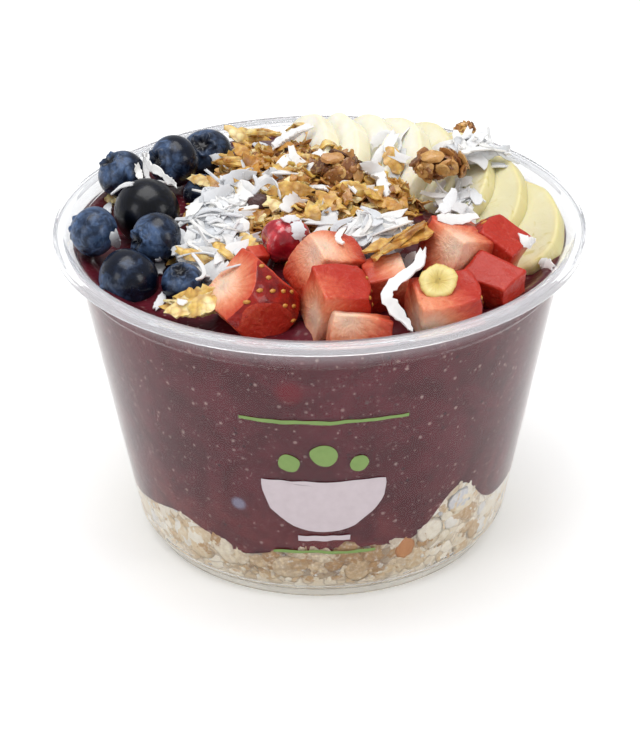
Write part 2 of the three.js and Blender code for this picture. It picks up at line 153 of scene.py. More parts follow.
class Finish:
    """A material, its colour so far, and the ways its nodes are added."""

    def __init__(self, name):
        self.colour = None
        self.material = bpy.data.materials.new(name)
        self.material.use_nodes = True
        self.tree = self.material.node_tree
        self.tree.nodes.clear()
        inputs = {"Vector": self.add("TexCoord", {}, {}, "Object"), "Scale": 1 / MM}
        self.millimetres = self.add("VectorMath", {"operation": "SCALE"}, inputs, "Vector")

    def add(self, kind, settings, inputs, output=0):
        node = self.tree.nodes.new("ShaderNode" + kind)
        for name, setting in settings.items():
            setattr(node, name, setting)
        for name, given in inputs.items():
            socket = node.inputs[name]
            if isinstance(given, Value):
                self.tree.links.new(given.socket, socket)
            elif given is not None:
                wants = len(socket.default_value) if hasattr(socket.default_value, "__len__") else 0
                socket.default_value = (*given, 1) if wants == 4 and len(given) == 3 else given
        return Value(self, node.outputs[output])

    def sum(self, operation, *terms):
        return self.add("Math", {"operation": operation}, dict(enumerate(terms)))

    def mix(self, factor, first, second):
        """A colour between two linear colours."""
        inputs = {0: factor, 6: first, 7: second}
        return self.add("Mix", {"data_type": "RGBA", "clamp_factor": True}, inputs, 2)

    def blend(self, factor, first, second):
        """Starts the colour, between two screen colours."""
        self.colour = self.mix(factor, hue(*first), hue(*second))

    def tones(self, factor, *stops):
        """Starts the colour, from a ramp of stops: a place and a screen colour each."""
        self.colour = self.add("ValToRGB", {}, {"Fac": factor}, "Color")
        ramp = self.colour.socket.node.color_ramp
        while len(ramp.elements) < len(stops):
            ramp.elements.new(0.5)
        for element, (place, *screen) in zip(ramp.elements, stops):
            element.position = place
            element.color = (*hue(*screen), 1)

    def over(self, factor, *screen):
        """Lays a screen colour over the colour so far."""
        self.colour = self.mix(factor, self.colour, hue(*screen))

    def grain(self, size, detail=3.0, rough=0.55, at=None, bend=0.0):
        """Soft noise from 0 to 1, with spots of about a size in millimetres."""
        inputs = {"Vector": at or self.millimetres, "Scale": 1 / size, "Detail": detail, "Roughness": rough}
        return self.add("TexNoise", {}, {**inputs, "Distortion": bend}, "Fac")

    def cells(self, size, output="Distance", feature="F1"):
        inputs = {"Vector": self.millimetres, "Scale": 1 / size}
        return self.add("TexVoronoi", {"feature": feature}, inputs, output)

    def lottery(self, size, channel):
        """A random value for each cell."""
        return self.add("SeparateColor", {}, {"Color": self.cells(size, "Color")}, channel)

    def stretched(self, scale, at=None):
        """Coordinates stretched for a pattern with a direction."""
        return self.add("Mapping", {}, {"Vector": at or self.millimetres, "Scale": scale}, "Vector")

    def own(self, name, output="Fac"):
        """A value kept on the piece's own points."""
        return self.add("Attribute", {"attribute_name": name}, {}, output)

    def along(self, axis):
        return self.add("SeparateXYZ", {}, {"Vector": self.millimetres}, axis)

    def spot(self, place, reach):
        """1 at a place in millimetres, falling to 0 at a reach round it."""
        away = self.add("VectorMath", {"operation": "DISTANCE"}, {0: self.millimetres, 1: place}, "Value")
        return 1 - away.step(reach * 0.35, reach)

    def front_middle_shade(self):
        """Painted shade: 1 in the middle of the layer's front, falling to 0 to both sides, to the back and at
        its foot.
        """
        x, y, z = [self.along(axis) for axis in "XYZ"]
        return (1 - self.sum("ABSOLUTE", x).step(8, 30)) * (1 - y.step(-30, 0)) * z.step(5, 9)

    def relief(self, *layers):
        """Bumps from (height, depth in millimetres) layers."""
        normal = None
        for height, depth in layers:
            inputs = {"Height": height, "Distance": depth * MM, "Normal": normal}
            normal = self.add("Bump", {}, inputs, "Normal")
        return normal

    def closed(self, roughness, layers, soft=None, coat=None, shine=0.5):
        """The material. Soft is (weight, radius, scale) under the surface, coat is (weight, roughness)."""
        inputs = {"Base Color": self.colour, "Roughness": roughness, "Normal": self.relief(*layers)}
        inputs["Specular IOR Level"] = shine
        if soft:
            inputs |= zip(("Subsurface Weight", "Subsurface Radius", "Subsurface Scale"), soft)
        if coat:
            inputs |= zip(("Coat Weight", "Coat Roughness"), coat)
        return self.done(self.add("BsdfPrincipled", {}, inputs))

    def done(self, shader):
        output = self.tree.nodes.new("ShaderNodeOutputMaterial")
        self.tree.links.new(shader.socket, output.inputs["Surface"])
        return self.material


def clear_plastic():
    """Clear, with light scuffs and a hazier rim and foot. It casts hardly any shadow on what it holds."""
    f = Finish("clear_plastic")
    scuffs, height = f.grain(9, 4), f.along("Z")
    rim, foot = height.step(64.5, 68.5), 1 - height.step(2.0, 6.5)
    rough = 0.02 + 0.05 * scuffs * (1 - rim)
    wave = f.relief((f.grain(16, 2) * (1 - rim), 0.12))
    inputs = {"Base Color": (0.985, 0.985, 0.99), "Roughness": rough, "Normal": wave}
    clear = f.add("BsdfPrincipled", {}, {**inputs, "IOR": 1.36, "Transmission Weight": 1.0})
    tint = f.mix(foot, (0.86, 0.88, 0.92), (0.9, 0.86, 0.76))
    milk = f.add("BsdfPrincipled", {}, {"Base Color": tint, "Roughness": 0.25, "Normal": wave})
    cloud = 0.004 + 0.01 * scuffs + 0.2 * rim + 0.3 * foot
    hazy = f.add("MixShader", {}, {0: cloud, 1: clear, 2: milk})
    through = f.add("BsdfTransparent", {}, {"Color": (0.99, 0.99, 0.99)})
    shadow = f.add("LightPath", {}, {}, "Is Shadow Ray")
    return f.done(f.add("MixShader", {}, {0: shadow, 1: hazy, 2: through}))


def acai_puree():
    f = Finish("acai_puree")
    clouds = f.grain(16, 3, 0.5, bend=1.5)
    swirl = f.grain(5, 4, 0.6, f.stretched((1, 1, 2.6)), 2.5)
    height, fine = f.along("Z"), f.grain(1.6, 1)
    top = height.step(66.0, 69.0)
    f.blend(clouds.step(0.3, 0.7), (84, 20, 32), (106, 32, 46))
    f.over(swirl.step(0.45, 0.8) * 0.4, 118, 48, 58)
    low = (1 - height.step(14, 34)) * clouds.step(0.35, 0.65)
    f.over(low * 0.5, 138, 60, 54)
    for size, strength in ((2.6, 0.52), (1.8, 0.4), (1.3, 0.36)):
        pale = (1 - f.cells(size).step(0.05, 0.25)) * f.lottery(size, "Red").step(0.3, 0.8)
        f.over(pale * strength, 210, 176, 168)
    dark = (1 - f.cells(2.9).step(0.08, 0.22)) * f.grain(7, 2).step(0.4, 0.6)
    f.over(dark * 0.75, 50, 22, 32)
    f.over(fine.step(0.35, 0.75) * 0.3, 66, 14, 26)
    f.over(f.spot((-6.6, -51.8, 57.7), 4.2) * 0.8, 122, 10, 30)
    f.over(f.spot((-17.8, -42.4, 26), 2.2) * 0.8, 150, 150, 176)
    f.over(top * 0.7, 70, 12, 22)
    relief = (f.grain(5, 2, bend=1.5), 0.4), (f.grain(2.4, 1), 0.15)
    return f.closed(0.36 + 0.2 * fine, relief, coat=(0.6 * top, 0.1), shine=0.1)


def pale_oats():
    """Oats and crumbs pressed against the wall."""
    f = Finish("pale_oats")
    husk, flour = f.grain(1.3, 4, 0.6), f.grain(0.9, 3)
    pale = (0.55, 240, 228, 204), (0.85, 250, 246, 236), (1.0, 216, 216, 220)
    f.tones(f.own("tone"), (0.0, 190, 152, 106), (0.25, 222, 198, 160), *pale)
    f.over(husk.step(0.5, 0.8) * 0.35, 206, 178, 136)
    f.over(flour.step(0.45, 0.75) * 0.5, 252, 248, 238)
    # painted shade: the oats over the middle of the front are darkened to tan
    f.over(f.front_middle_shade() * husk.step(0.35, 0.6) * 0.5, 150, 118, 90)
    return f.closed(0.7 + 0.2 * flour, ((husk, 0.25), (flour, 0.12)), shine=0.15)


def oat_crumb():
    """The body of the granola layer: crumbs, with painted shade in the gaps between them."""
    f = Finish("oat_crumb")
    size = 2.6
    edges, dust = f.cells(size, feature="DISTANCE_TO_EDGE"), f.grain(0.6, 4)
    pale = (0.4, 232, 216, 188), (0.75, 246, 238, 220)
    f.tones(f.lottery(size, "Green"), (0.0, 206, 182, 146), *pale, (1.0, 216, 184, 136))
    # painted shade: the edges of the crumb cells are darkened where the gaps between crumbs are
    f.over((1 - edges.step(0.0, 0.1)) * 0.6, 150, 124, 98)
    f.over(dust.step(0.4, 0.7) * 0.5, 236, 222, 196)
    # painted shade over the middle of the front
    f.over(f.front_middle_shade() * 0.65, 122, 94, 78)
    return f.closed(0.85, ((1 - f.cells(size), 0.8), (dust, 0.2)))


def toasted_oats():
    f = Finish("toasted_oats")
    husk, glints = f.grain(1.6, 4, 0.65, bend=0.6), f.grain(0.8, 3)
    dark = (0.0, 92, 50, 24), (0.25, 148, 90, 42)
    f.tones(f.own("tone"), *dark, (0.5, 198, 142, 74), (0.75, 228, 186, 116), (1.0, 246, 222, 172))
    f.over(husk.step(0.5, 0.8) * 0.5, 132, 76, 32)
    f.over(glints.step(0.5, 0.75) * 0.4, 246, 208, 130)
    soft = 0.12, (0.003, 0.0016, 0.0006), 0.3
    return f.closed(0.34 + 0.3 * husk, ((husk, 0.35), (glints, 0.15)), soft, (0.5, 0.18))


def honey_flake():
    """Thin golden flakes, glossy with honey, that light shines through."""
    f = Finish("honey_flake")
    blister, streak = f.cells(1.7), f.grain(1.1, 3, 0.6, f.stretched((1, 1, 0.4)))
    dark = (0.0, 132, 78, 30), (0.35, 200, 142, 58)
    f.tones(f.own("tone"), *dark, (0.7, 234, 194, 104), (1.0, 250, 232, 176))
    f.over(blister.step(0.3, 0.8) * 0.5, 156, 92, 32)
    f.over(streak.step(0.5, 0.8) * 0.4, 250, 218, 126)
    soft = 0.3, (0.003, 0.002, 0.0006), 0.3
    return f.closed(0.3 + 0.2 * streak, ((blister, -0.4), (streak, 0.2)), soft, (0.4, 0.18))


def toasted_crumb():
    f = Finish("toasted_crumb")
    size = 2.2
    edges, dust = f.cells(size, feature="DISTANCE_TO_EDGE"), f.grain(0.5, 4)
    # the colours are kept dark: partly toasted crumb, partly painted shade in the gaps under the loose flakes
    f.tones(f.lottery(size, "Red"), (0.0, 92, 54, 26), (0.5, 140, 88, 42), (1.0, 186, 134, 70))
    # painted shade: the edges of the crumb cells are darkened almost to black-brown
    f.over(1 - edges.step(0.0, 0.14), 56, 32, 18)
    f.over(dust.step(0.45, 0.75) * 0.4, 212, 166, 104)
    return f.closed(0.6, ((f.cells(size), -0.9), (dust, 0.2)), coat=(0.15, 0.3))


def blueberry_skin():
    f = Finish("blueberry_skin")
    crown, dust = f.own("crown"), f.grain(1.0, 2)
    rubbed, streak = f.grain(6.5, 3, 0.5, bend=1.2), f.grain(3.0, 3, 0.5, bend=2.0)
    patchy = rubbed * 1.4 + f.own("tone") * 0.5 + 0.45 * crown.peak(0.22, 0.22)
    bloom = patchy.step(0.85, 1.5) * (0.3 + 0.7 * streak.step(0.35, 0.65))
    f.blend(streak, (6, 10, 20), (16, 25, 46))
    f.over(bloom, 74, 98, 136)
    f.over((1 - crown.step(0.05, 0.12)) * 0.9, 14, 12, 18)
    f.over(bloom * dust.step(0.45, 0.7) * 0.25, 150, 168, 192)
    return f.closed(0.24 + 0.3 * bloom, ((rubbed, 0.15), (dust, 0.04)), coat=(0.17, 0.12), shine=0.25)


def dark_berry_skin():
    f = Finish("dark_berry_skin")
    cloud = f.grain(5, 4, 0.6, bend=1.5)
    f.blend(cloud.step(0.4, 0.75), (5, 7, 14), (14, 20, 38))
    f.over(1 - f.own("crown").step(0.05, 0.14), 10, 9, 12)
    relief = (cloud, 0.15), (f.grain(0.8, 3), 0.03)
    return f.closed(0.24 + 0.12 * cloud, relief, coat=(0.18, 0.12), shine=0.24)


def strawberry_flesh():
    """Pale at the core, redder outwards, with the dark glossy skin where a piece has kept it."""
    f = Finish("strawberry_flesh")
    depth, at_skin = f.own("depth"), f.own("skin").step(0.45, 0.6)
    outward = f.add("VectorMath", {"operation": "NORMALIZE"}, {0: f.own("berry", "Vector")}, "Vector")
    veins, blotch, sparkle = f.grain(0.11, 3, 0.6, outward), f.grain(2.8, bend=0.8), f.grain(0.7, 3, 0.6)
    inner = depth + (veins - 0.5) * 0.55 * depth + (blotch - 0.5) * 0.22
    pale = (0.0, 255, 226, 204), (0.24, 252, 200, 170)
    f.tones(inner, *pale, (0.46, 230, 144, 108), (0.7, 204, 84, 56), (0.95, 182, 46, 30))
    skin = f.mix(f.grain(3.4, 3).step(0.3, 0.7), hue(116, 4, 7), hue(164, 26, 11))
    f.colour = f.mix(at_skin, f.colour, skin)
    f.over(sparkle.step(0.6, 0.85) * 0.2 * (1 - at_skin), 250, 220, 200)
    relief = (veins, 0.25), (sparkle, 0.1), (blotch, 0.5), (f.cells(1.1), 0.08)
    soft, coat = (0.35, (0.004, 0.0012, 0.0006), 0.5), (0.18 + 0.22 * at_skin, 0.09)
    return f.closed(0.34 + 0.2 * sparkle, relief, soft, coat, 0.25)


def strawberry_seed():
    f = Finish("strawberry_seed")
    f.blend(f.grain(0.6, 2), (184, 108, 38), (222, 164, 72))
    return f.closed(0.4, ((f.grain(0.3, 2), 0.05),), coat=(0.3, 0.2))


def red_berry_skin():
    f = Finish("red_berry_skin")
    cloud = f.grain(3.0, 3, 0.5, bend=1.0)
    f.blend(cloud.step(0.35, 0.7), (158, 20, 38), (220, 62, 72))
    relief = (cloud, 0.3), (f.grain(0.9, 3), 0.08)
    return f.closed(0.2 + 0.1 * cloud, relief, (0.3, (0.005, 0.0008, 0.0008), 0.3), (0.8, 0.06))


def banana_flesh():
    """Creamy, with rays from the core. The later slices of the fan carry painted shade, darker and yellower,
    with soft olive blotches.
    """
    f = Finish("banana_flesh")
    out, banana_shading, fine = f.own("out"), f.own("tone"), f.grain(0.6, 3)
    rays = f.grain(0.12, 3, 0.5, f.stretched((1, 1, 0.2), f.own("slice", "Vector")))
    f.blend(f.grain(6, 3, 0.5).step(0.3, 0.7), (252, 250, 240), (246, 241, 222))
    # painted shade: the later slices of the fan are darkened and yellowed
    f.over(banana_shading * 0.75, 216, 209, 158)
    # the rim is yellower: its own colour, plus painted shade of the creases between slices, stronger on the
    # later slices
    f.over(out.step(0.84, 1.0) * (0.28 + 0.3 * banana_shading), 220, 206, 130)
    f.over(rays.step(0.5, 0.75) * (0.4 - 0.32 * banana_shading), 250, 247, 232)
    # soft olive blotches, laid only on the later slices along with their painted shade
    olive_blotch = f.grain(4.5, bend=1.2).step(0.56, 0.7) * banana_shading
    f.over(olive_blotch * 0.6, 200, 188, 98)
    core = 1 - out.step(0.1, 0.38)
    f.over(core * rays * 0.6, 216, 202, 132)
    soft = 0.4, (0.004, 0.003, 0.0014), 0.4
    return f.closed(0.42 + 0.15 * fine, ((rays, 0.1), (fine, 0.08)), soft, (0.12, 0.3))


def coconut_white():
    f = Finish("coconut_white")
    f.tones(f.own("tone"), (0.0, 214, 217, 222), (0.5, 236, 237, 239), (1.0, 251, 249, 244))
    fibre = f.grain(0.9, 4, 0.6, f.stretched((1, 1, 0.5)))
    f.over(fibre.step(0.6, 0.85) * 0.3, 212, 216, 224)
    return f.closed(0.5 + 0.2 * fibre, ((fibre, 0.15),), (0.5, (0.002, 0.002, 0.002), 0.5))


def raisin_skin():
    f = Finish("raisin_skin")
    wrinkle = f.grain(1.4, 4, 0.6, bend=1.5)
    f.blend(wrinkle, (46, 22, 22), (92, 50, 44))
    return f.closed(0.4, ((wrinkle, 0.6),), coat=(0.3, 0.25))


def almond_skin():
    f = Finish("almond_skin")
    grain = f.grain(0.8, 4, 0.6, f.stretched((1, 1, 0.3)))
    f.blend(grain, (182, 112, 60), (218, 158, 98))
    return f.closed(0.5, ((grain, 0.3),))


def dried_fruit():
    """A thin dried slice: yellow, darker and seeded towards its middle."""
    f = Finish("dried_fruit")
    out, fine = f.own("out"), f.grain(0.7, 3)
    rays = f.grain(0.2, 3, 0.5, f.stretched((1, 1, 0.2), f.own("slice", "Vector")))
    f.tones(out, (0.0, 206, 178, 92), (0.35, 224, 200, 116), (0.7, 240, 224, 156), (1.0, 226, 200, 118))
    f.over(rays.step(0.5, 0.75) * out.peak(0.45, 0.35) * 0.6, 186, 150, 66)
    seeds = (1 - f.cells(1.1).step(0.14, 0.24)) * out.peak(0.28, 0.22)
    f.over(seeds, 84, 62, 34)
    soft = 0.3, (0.003, 0.002, 0.0008), 0.3
    return f.closed(0.38 + 0.2 * fine, ((rays, 0.3), (fine, 0.1)), soft, (0.2, 0.15))


def print_ink(name, first, second):
    f = Finish(name)
    wear = f.grain(2.2, 4)
    f.blend(wear, first, second)
    return f.closed(0.35 + 0.1 * wear, ((f.grain(0.5, 2), 0.02),), coat=(0.2, 0.1))


def floor_paint():
    f = Finish("floor_paint")
    colour = f.mix(f.grain(60, 3), (0.93, 0.93, 0.925), (0.95, 0.95, 0.945))
    inputs = {"Base Color": colour, "Roughness": 0.6, "Normal": f.relief((f.grain(2, 3), 0.01))}
    glow = {"Emission Color": (1, 1, 1), "Emission Strength": 0.21}
    return f.done(f.add("BsdfPrincipled", {}, {**inputs, **glow}))


# ---------------------------------------------------------------- mesh helpers
def mesh_of(bm, name):
    mesh = bpy.data.meshes.new(name)
    bm.to_mesh(mesh)
    bm.free()
    return mesh


def placed(name, data):
    made = bpy.data.objects.new(name, data)
    bpy.context.scene.collection.objects.link(made)
    return made


def finished(bm, name, material, stands_for, slot, crisp=None):
    """Makes a piece of a mesh in millimetres, riding on the part. Edges over the crisp angle stay sharp."""
    bmesh.ops.scale(bm, vec=(MM, MM, MM), verts=bm.verts)
    mesh = mesh_of(bm, name)
    mesh.polygons.foreach_set("use_smooth", [True] * len(mesh.polygons))
    if crisp:
        mesh.set_sharp_from_angle(angle=math.radians(crisp))
    mesh.materials.append(material)
    piece = placed(name, mesh)
    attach(piece, "root")
    if stands_for:
        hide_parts(*stands_for)
    return piece


def fillet(corners, radius, cuts):
    """A line of points with its inner corners rounded."""
    points = [Vector(corners[0])]
    for before, corner, after in zip(corners, corners[1:], corners[2:]):
        before, corner, after = Vector(before), Vector(corner), Vector(after)
        back, on = before - corner, after - corner
        reach = min(radius, back.length * 0.45, on.length * 0.45)
        start, end = corner + back.normalized() * reach, corner + on.normalized() * reach
        for i in range(cuts + 1):
            t = i / cuts
            points.append(start * (1 - t) ** 2 + corner * 2 * t * (1 - t) + end * t * t)
    points.append(Vector(corners[-1]))
    return points


def lathe(profile, steps):
    """Spins a line of (radius, height) points about Z and closes its poles."""
    bm = bmesh.new()
    points = [bm.verts.new((p[0], 0, p[1])) for p in profile]
    edges = [bm.edges.new(pair) for pair in zip(points, points[1:])]
    way = {"cent": (0, 0, 0), "axis": (0, 0, 1), "angle": math.tau}
    bmesh.ops.spin(bm, geom=points + edges, steps=steps, use_merge=True, **way)
    bmesh.ops.remove_doubles(bm, verts=bm.verts, dist=0.0005)
    bmesh.ops.recalc_face_normals(bm, faces=bm.faces)
    return bm


def ball(around, rows):
    bm = bmesh.new()
    bmesh.ops.create_uvsphere(bm, u_segments=around, v_segments=rows, radius=1)
    return bm


def aim(direction, twist=0.0):
    """A turn that takes Z to a direction, after a twist about Z."""
    turn = Vector(direction).to_track_quat("Z", "Y") @ Euler((0, 0, twist)).to_quaternion()
    return turn.to_matrix().to_4x4()


def stood(place, direction, twist=0.0):
    """Stands a shape at a place, its Z in a direction."""
    return Matrix.Translation(place) @ aim(direction, twist)


def stretch(x, y, z):
    return Matrix.Diagonal((x, y, z, 1))


def moved(bm, matrix):
    bmesh.ops.transform(bm, matrix=matrix, verts=bm.verts)


def jitter(draw, spread):
    return Vector([draw.gauss(0, spread) for _ in range(3)])


def crumple(verts, size, depth, seed):
    """Pushes points about by smooth noise."""
    offset = Vector((seed * 7.31, seed * 3.77, seed * 5.13))
    for v in verts:
        v.co += noise.noise_vector(v.co / size + offset) * depth


def kept_number(bm, name):
    """A value stored on each point of a mesh, for its material."""
    return bm.verts.layers.float.get(name) or bm.verts.layers.float.new(name)


def toned_mesh():
    """An empty mesh, with the layer that keeps the tone of its points."""
    bm = bmesh.new()
    return bm, kept_number(bm, "tone")


def mottle(bm, layer, size):
    """Makes the tone of a mesh uneven."""
    for v in bm.verts:
        v[layer] = kept(v[layer] + 0.4 * noise.noise(v.co / size))


class Pattern:
    """A small shape that is repeated in a joined mesh."""

    def __init__(self, bm):
        self.mesh = mesh_of(bm, "pattern")

    def put(self, bm, matrix, tone, seed, crumpled, size):
        start = len(bm.verts)
        bm.from_mesh(self.mesh)
        bm.verts.ensure_lookup_table()
        new = bm.verts[start:]
        crumple(new, size, crumpled, seed)
        layer = kept_number(bm, "tone")
        for v in new:
            v.co = matrix @ v.co
            v[layer] = tone
        return new


def oat_pattern(thick, steps):
    """A rolled oat of half-length 1: a thin oval with a crease and ragged edges."""
    bm = lathe([(0, -thick), (0.75, -thick), (1.0, 0), (0.8, thick), (0, thick)], steps)
    for v in bm.verts:
        crease = math.exp(-((v.co.y / 0.16) ** 2)) * 0.12
        v.co.z += 0.14 * v.co.x * v.co.x - crease
        v.co.xy *= 1 + 0.16 * noise.noise(v.co * 2.3 + Vector((thick * 90, 0, 0)))
        v.co.y *= 0.76 - 0.1 * v.co.x
    return Pattern(bm)


def curled_pattern(curl, slim, seed):
    """A curled toasted sheet of half-length 1, with a ragged outline."""
    bm = bmesh.new()
    bmesh.ops.create_grid(bm, x_segments=6, y_segments=3, size=1)
    for v in bm.verts:
        x, y = v.co.x, v.co.y
        outline = math.sqrt(max(0.1, 1 - 0.75 * x * x))
        ragged = 1 + 0.5 * noise.noise(Vector((x * 2.1, y * 2.1, seed * 3.3)))
        v.co.x = x * (1 - 0.18 * y * y) * ragged
        v.co.y = y * slim * outline * ragged
        v.co.z = curl * (x * x - 0.3) + 0.3 * curl * math.sin(3 * y) + 0.12 * math.sin(4.5 * x + seed)
    bmesh.ops.solidify(bm, geom=bm.faces[:], thickness=0.11)
    return Pattern(bm)


def chunk_pattern():
    """A rounded crumb of half-length 1."""
    bm = bmesh.new()
    bmesh.ops.create_icosphere(bm, subdivisions=1, radius=1)
    return Pattern(bm)


def ribbon(bm, path, width, seed, lean, ragged, taper, cupped, tone=None):
    """Bends a strip of grid along a path: one shred or flake, flat until it is thickened."""
    draw = random.Random(seed)
    last = len(path) - 1
    side = lean or Vector((draw.uniform(-1, 1), draw.uniform(-1, 1), draw.uniform(-0.3, 0.3)))
    layer = kept_number(bm, "tone")
    tone = draw.random() if tone is None else tone
    turn = draw.uniform(-0.9, 0.9) / last
    frames = []
    for i, point in enumerate(path):
        ahead = (path[min(i + 1, last)] - path[max(i - 1, 0)]).normalized()
        side = (side - ahead * side.dot(ahead)).normalized()
        side = Matrix.Rotation(turn, 3, ahead) @ side
        end = eased(min(i, last - i) / max(1, last * 0.3))
        half = width / 2 * (1 - taper * (1 - end))
        bites = [noise.noise(Vector((i * 0.7, edge * 9.1, seed * 1.7))) for edge in range(2)]
        frames.append((point, side.copy(), ahead, [half * (1 + 1.7 * ragged * bite) for bite in bites]))
    for v in bmesh.ops.create_grid(bm, x_segments=last, y_segments=2, size=1)["verts"]:
        i = round((v.co.x + 1) / 2 * last)
        point, side, ahead, reach = frames[i]
        across = v.co.y
        cup = ahead.cross(side) * cupped * width * (across * across - 0.5) * 0.5
        torn = Vector()
        if i in (0, last):
            torn = ahead * width * 0.9 * noise.noise(Vector((across * 2.3, seed * 2.9, i)))
        v.co = point + side * across * reach[across > 0] + cup + torn
        v[layer] = tone


def thickened(bm, thick):
    """Gives flat strips an even thickness, without spikes at their folds."""
    bm.normal_update()
    facing = {v.co.copy().freeze(): v.normal.copy() for v in bm.verts}
    for g in bmesh.ops.extrude_face_region(bm, geom=bm.faces[:], use_keep_orig=True)["geom"]:
        if isinstance(g, bmesh.types.BMVert):
            g.co -= facing[g.co.copy().freeze()] * thick
    bmesh.ops.recalc_face_normals(bm, faces=bm.faces)


def curve_through(points, steps):
    """A smooth line through points."""
    line = []
    points = [Vector(p) for p in points]
    full = [points[0] * 2 - points[1]] + points + [points[-1] * 2 - points[-2]]
    for i in range(steps + 1):
        t = i / steps * (len(points) - 1)
        k = min(int(t), len(points) - 2)
        u = t - k
        a, b, c, d = full[k : k + 4]
        square = (2 * a - 5 * b + 4 * c - d) * u * u
        cube = (3 * b - a - 3 * c + d) * u ** 3
        line.append(0.5 * (2 * b + (c - a) * u + square + cube))
    return line


class Ground:
    """What has been laid so far, for later pieces to rest on."""

    def __init__(self, pieces):
        points, faces, self.owner = [], [], []
        for piece in pieces:
            start = len(points)
            points += [v.co / MM for v in piece.data.vertices]
            faces += [[start + i for i in p.vertices] for p in piece.data.polygons]
            self.owner += [piece.name] * len(piece.data.polygons)
        self.tree = BVHTree.FromPolygons(points, faces)

    def met(self, start, way):
        """The place, slope and piece that a line meets."""
        place, normal, face, _ = self.tree.ray_cast(start, way)
        return (place, normal, self.owner[face]) if place else (None, None, None)

    def under(self, x, y):
        return self.met(Vector((x, y, 120)), Vector((0, 0, -1)))

    def seen_at(self, pixel):
        return self.met(CAMERA_AT, sight(pixel))


def sight(pixel):
    """The direction in which the camera sees a pixel."""
    ahead = (LOOKS_AT - CAMERA_AT).normalized()
    right = ahead.cross(Vector((0, 0, 1))).normalized()
    up = right.cross(ahead)
    roll = math.radians(-CAMERA_ROLL)
    x, y = pixel[0] - AXIS_PIXEL[0], AXIS_PIXEL[1] - pixel[1]
    x, y = x * math.cos(roll) + y * math.sin(roll), -x * math.sin(roll) + y * math.cos(roll)
    return (ahead * FOCAL_PIXELS + right * x + up * y).normalized()


# ---------------------------------------------------------------- camera, light and floor
def camera():
    data = bpy.data.cameras.new("camera")
    data.sensor_width = 36
    data.lens = FOCAL_PIXELS * 36 / FRAME_HEIGHT
    data.shift_x = (FRAME_WIDTH / 2 - AXIS_PIXEL[0]) / FRAME_HEIGHT
    data.shift_y = (AXIS_PIXEL[1] - FRAME_HEIGHT / 2) / FRAME_HEIGHT
    data.clip_start, data.clip_end = 0.01, 50
    made = placed("camera", data)
    turn = (LOOKS_AT - CAMERA_AT).to_track_quat("-Z", "Y")
    made.rotation_mode = "QUATERNION"
    made.rotation_quaternion = turn @ Euler((0, 0, math.radians(CAMERA_ROLL))).to_quaternion()
    made.location = CAMERA_AT * MM
    bpy.context.scene.camera = made


def lamp(name, place, size, power):
    """A soft light that looks at the middle of the cup."""
    data = bpy.data.lights.new(name, "AREA")
    data.shape = "RECTANGLE"
    data.size, data.size_y = size
    data.energy = power
    made = placed(name, data)
    made.location = place
    made.rotation_mode = "QUATERNION"
    made.rotation_quaternion = (Vector((0, 0, 0.05)) - Vector(place)).to_track_quat("-Z", "Y")


def studio():
    world = bpy.data.worlds.new("studio")
    world.use_nodes = True
    sky = world.node_tree.nodes["Background"]
    sky.inputs["Color"].default_value = (1, 1, 1, 1)
    sky.inputs["Strength"].default_value = 0.44
    bpy.context.scene.world = world
    lamp("softbox_above", (-0.05, 0.05, 1.1), (0.9, 0.8), 9.0)
    lamp("softbox_left", (-0.9, -0.75, 0.6), (0.5, 0.6), 2.8)
    lamp("softbox_right", (0.9, -0.6, 0.5), (0.4, 0.5), 2.3)
    bpy.context.scene.view_settings.view_transform = "Standard"
    bm = bmesh.new()
    bmesh.ops.create_circle(bm, cap_ends=True, segments=64, radius=6.0)
    mesh = mesh_of(bm, "floor")
    mesh.materials.append(floor_paint())
    floor = placed("floor", mesh)


# ---------------------------------------------------------------- cup and what fills it
# radius, height: the outside from the middle of the foot up to the rim, then the inside down to the floor
CUP = (
    (0, 2.5), (37.6, 2.5), (38.2, 0.0), (39.6, 0.0), (40.0, 2.5), (41.4, 2.9), (42.4, 4.9), (53.26, 64.4),
    (54.2, 65.3), (54.3, 70), (56.1, 71.6), (57.6, 71.6), (57.6, 70.1), (58.5, 70.1), (58.4, 72.1),
    (57.9, 72.5), (55.9, 72.5), (55.5, 72.3), (53.4, 70), (53.3, 65.6), (52.36, 64.7),
    (CORNER_RADIUS, CORNER_TOP), (40.9, 3.6), (39, FLOOR), (0, FLOOR),
)


def cup():
    bm = lathe(fillet(CUP, 0.45, 3), 128)
    return finished(bm, "clear_cup", clear_plastic(), ("cup",), "clear_plastic")


def poured(lower, upper, rows_up, rings):
    """A body of revolution that fills the cup between two height functions."""
    side = [(1.0, -1.0 + 2.0 * i / rows_up) for i in range(rows_up)]
    profile = [(i / rings, -1.0) for i in range(rings)] + side
    profile += [(1 - i / rings, 1.0) for i in range(rings)] + [(0, 1.0)]
    bm = lathe(profile, 192)
    for v in bm.verts:
        out = math.hypot(v.co.x, v.co.y)
        angle = math.atan2(v.co.y, v.co.x)
        z = between(lower(angle, kept(out)), upper(angle, kept(out)), (v.co.z + 1) / 2)
        v.co = at_angle(angle, filled_radius(z) * out, z)
    return bm


def acai(material):
    bm = poured(lambda angle, out: granola_top(angle, out) - 0.6, acai_top, 60, 44)
    for v in bm.verts:
        if v.co.z > SURFACE_FOOT and v.co.xy.length < SURFACE_REACH:
            near = eased((SHORE - v.co.xy.length) / 5)
            lump = noise.fractal(Vector((v.co.x, v.co.y, 3)) / 9, 1.0, 2.0, 3)
            sunk = eased((v.co.xy.length - 24) / 12) * 2.6
            v.co.z += near * (lump - sunk)
    return finished(bm, "acai_puree", material, ("acai",), "acai_puree")


def pull_in(v, limit):
    """Brings a point back to a distance from the axis."""
    out = v.co.xy.length
    if out > limit:
        v.co.x *= limit / out
        v.co.y *= limit / out


